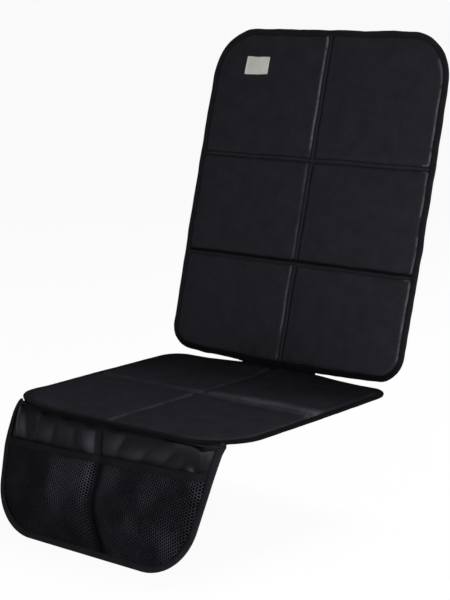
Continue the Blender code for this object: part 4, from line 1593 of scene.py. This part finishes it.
    def build(self, looks: "Looks") -> None:
        """Builds and dresses the flap's pieces."""
        self.sides = self.outline.half_widths(0.0)
        self.openings = self.outline.half_widths(TAPE_REACH + 2 * CLEAR)
        cloth = make_piece(self.cloth(), "flap_face_cloth", looks.coated, self.plane, Slot.FLAP, CLOTH)
        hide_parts("flap_cloth")
        binding = Binding(self.outline, -CLEAR - TAPE, NET_LEG, False, self.put)
        tape = make_piece(binding.mesh(21.0), "flap_edge_tape", looks.tape, self.plane, Slot.TAPE)
        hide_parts("flap_binding")
        carrier = make_piece(
            self.seam_tape_mesh(), "flap_carrier_tape", looks.tape, Plane(Vector(), 0.0), Slot.TAPE
        )
        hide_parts("flap_seam_tape")
        net = make_piece(self.net(), "net_pocket", looks.net, self.plane, Slot.NET, NET_THREAD)
        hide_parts("pocket_net")
        tinted = tint(self.hem(), self.hem_tone)
        hem = make_piece(tinted, "pocket_hem_tape", looks.tape, self.plane, Slot.TAPE)
        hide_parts("pocket_hem")
        threads = self.stitches(binding, looks.thread)
        flat, area = (self.top_width, self.length), self.outline.area()
        flat = (self.top_width, self.length - self.hem_drop)


@dataclass
class Looks:
    """The part's materials."""

    cover: bpy.types.Material
    backing: bpy.types.Material
    foam: bpy.types.Material
    tape: bpy.types.Material
    coated: bpy.types.Material
    net: bpy.types.Material
    thread: bpy.types.Material
    silver: bpy.types.Material

    @classmethod
    def make(cls) -> "Looks":
        """Makes every material."""
        finishes = (OXFORD, BACKING, BOARD, BINDING, COATED, KNIT, THREAD, SILVER)
        return cls(*(finish.material() for finish in finishes))


@dataclass
class Studio:
    """A pale floor, soft lamps and the camera at the photograph's viewing angle."""

    target: Vector = field(default_factory=lambda: Vector((-0.06885, 0.15515, 0.12740)))
    azimuth: float = math.radians(39.55)
    elevation: float = math.radians(11.1)
    roll: float = math.radians(-0.35)
    distance: float = 2.7443
    lens: float = 97.43
    floor: float = -0.1900
    ambient: float = 0.12
    floor_radius: float = 120.0
    floor_glow: float = 0.94  # share of the floor's white that is its own where the camera sees it

    def camera(self) -> None:
        """Sets up the camera."""
        a, e = self.azimuth, self.elevation
        back = Vector((math.sin(a) * math.cos(e), -math.cos(a) * math.cos(e), math.sin(e)))
        right = Vector((math.cos(a), math.sin(a), 0))
        up = back.cross(right)
        c, s = math.cos(self.roll), math.sin(self.roll)
        right, up = c * right + s * up, c * up - s * right
        data = bpy.data.cameras.new("camera")
        data.lens = self.lens
        data.sensor_width = 36.0
        data.clip_end = 400.0
        camera = bpy.data.objects.new("camera", data)
        camera.matrix_world = Matrix.LocRotScale(
            self.target + back * self.distance, Matrix((right, up, back)).transposed(), None
        )
        bpy.context.collection.objects.link(camera)
        bpy.context.scene.camera = camera

    def lamp(self, name: str, place: tuple[float, float, float], size: float, power: float) -> None:
        """Adds a square area lamp that faces the part.

        Args:
            name: The lamp's name.
            place: Where it hangs.
            size: Length of its side.
            power: Its power in watts.
        """
        data = bpy.data.lights.new(name, "AREA")
        data.size = size
        data.energy = power
        lamp = bpy.data.objects.new(name, data)
        aim = Vector((0, 0.1, 0.2)) - Vector(place)
        lamp.location = place
        lamp.rotation_euler = aim.to_track_quat("-Z", "Y").to_euler()
        lamp.visible_camera = False
        bpy.context.collection.objects.link(lamp)

    def lights(self) -> None:
        """Hangs the lamps."""
        self.lamp("key", (1.75, -1.05, 0.45), 0.8, 40.0)
        self.lamp("front", (0.5, -2.3, 0.35), 0.9, 9.0)
        self.lamp("rear", (0.3, 1.25, 2.2), 1.0, 50.0)

    def seen_white(self, tree: bpy.types.NodeTree) -> bpy.types.NodeSocket:
        """1 for camera, glossy and transmission rays, and else 0."""
        path = add(tree, "LightPath")
        seen = path.outputs["Is Camera Ray"]
        for kind in ("Is Glossy Ray", "Is Transmission Ray"):
            seen = add(tree, "Math", {0: seen, 1: path.outputs[kind]}, operation="MAXIMUM").outputs[0]
        return seen

    def world(self) -> None:
        """White where the camera sees it, and a dimmer soft light on the part."""
        world = bpy.data.worlds.new("studio")
        bpy.context.scene.world = world
        world.use_nodes = True
        tree = world.node_tree
        background = tree.nodes["Background"]
        strength = add(tree, "MapRange", {0: self.seen_white(tree), 3: self.ambient, 4: 1.0})
        background.inputs["Color"].default_value = (1, 1, 1, 1)
        tree.links.new(strength.outputs[0], background.inputs["Strength"])

    def stage(self) -> None:
        """Lays the pale floor."""
        bm = bmesh.new()
        bmesh.ops.create_circle(bm, cap_ends=True, segments=64, radius=self.floor_radius)
        mesh = bpy.data.meshes.new("floor")
        bmesh.ops.translate(bm, vec=(0, 0, self.floor), verts=bm.verts)
        bm.to_mesh(mesh)
        bm.free()
        material = bpy.data.materials.new("matt_paper")
        material.use_nodes = True
        tree = material.node_tree
        shader = tree.nodes["Principled BSDF"]
        shader.inputs["Roughness"].default_value = 0.9
        shader.inputs["Specular IOR Level"].default_value = 0.1
        spot = add(tree, "TexCoord").outputs["Object"]
        grain = add(tree, "TexNoise", {"Vector": spot, "Scale": 60.0, "Detail": 2.0})
        tones = {0: grain.outputs[0], 6: linear("#f3f3f4"), 7: linear("#f8f8f8")}
        paper = add(tree, "Mix", tones, data_type="RGBA")
        tree.links.new(paper.outputs[2], shader.inputs["Base Color"])
        white = add(tree, "Emission", {"Color": (1, 1, 1, 1), "Strength": 1.0})
        share = add(tree, "Math", {0: self.seen_white(tree), 1: self.floor_glow}, operation="MULTIPLY")
        mixed = add(tree, "MixShader", {0: share.outputs[0], 1: shader.outputs[0], 2: white.outputs[0]})
        tree.links.new(mixed.outputs[0], tree.nodes["Material Output"].inputs["Surface"])
        mesh.materials.append(material)
        floor = bpy.data.objects.new("floor", mesh)
        bpy.context.collection.objects.link(floor)

    def build(self) -> None:
        """Builds the whole studio."""
        self.camera()
        self.stage()
        self.lights()
        self.world()
        bpy.context.scene.view_settings.view_transform = "Standard"


def main() -> None:
    """Builds the studio, then the part's pieces."""
    logging.basicConfig(level=logging.INFO, format="%(name)s: %(message)s")
    Studio().build()
    looks = Looks.make()
    back = backrest()
    front = seat()
    front.build(looks)
    back.build(looks)
    HingeStrip(front, back).build(looks)
    Label(back).build(looks)
    Flap().build(looks)


if __name__ == "__main__":
    main()
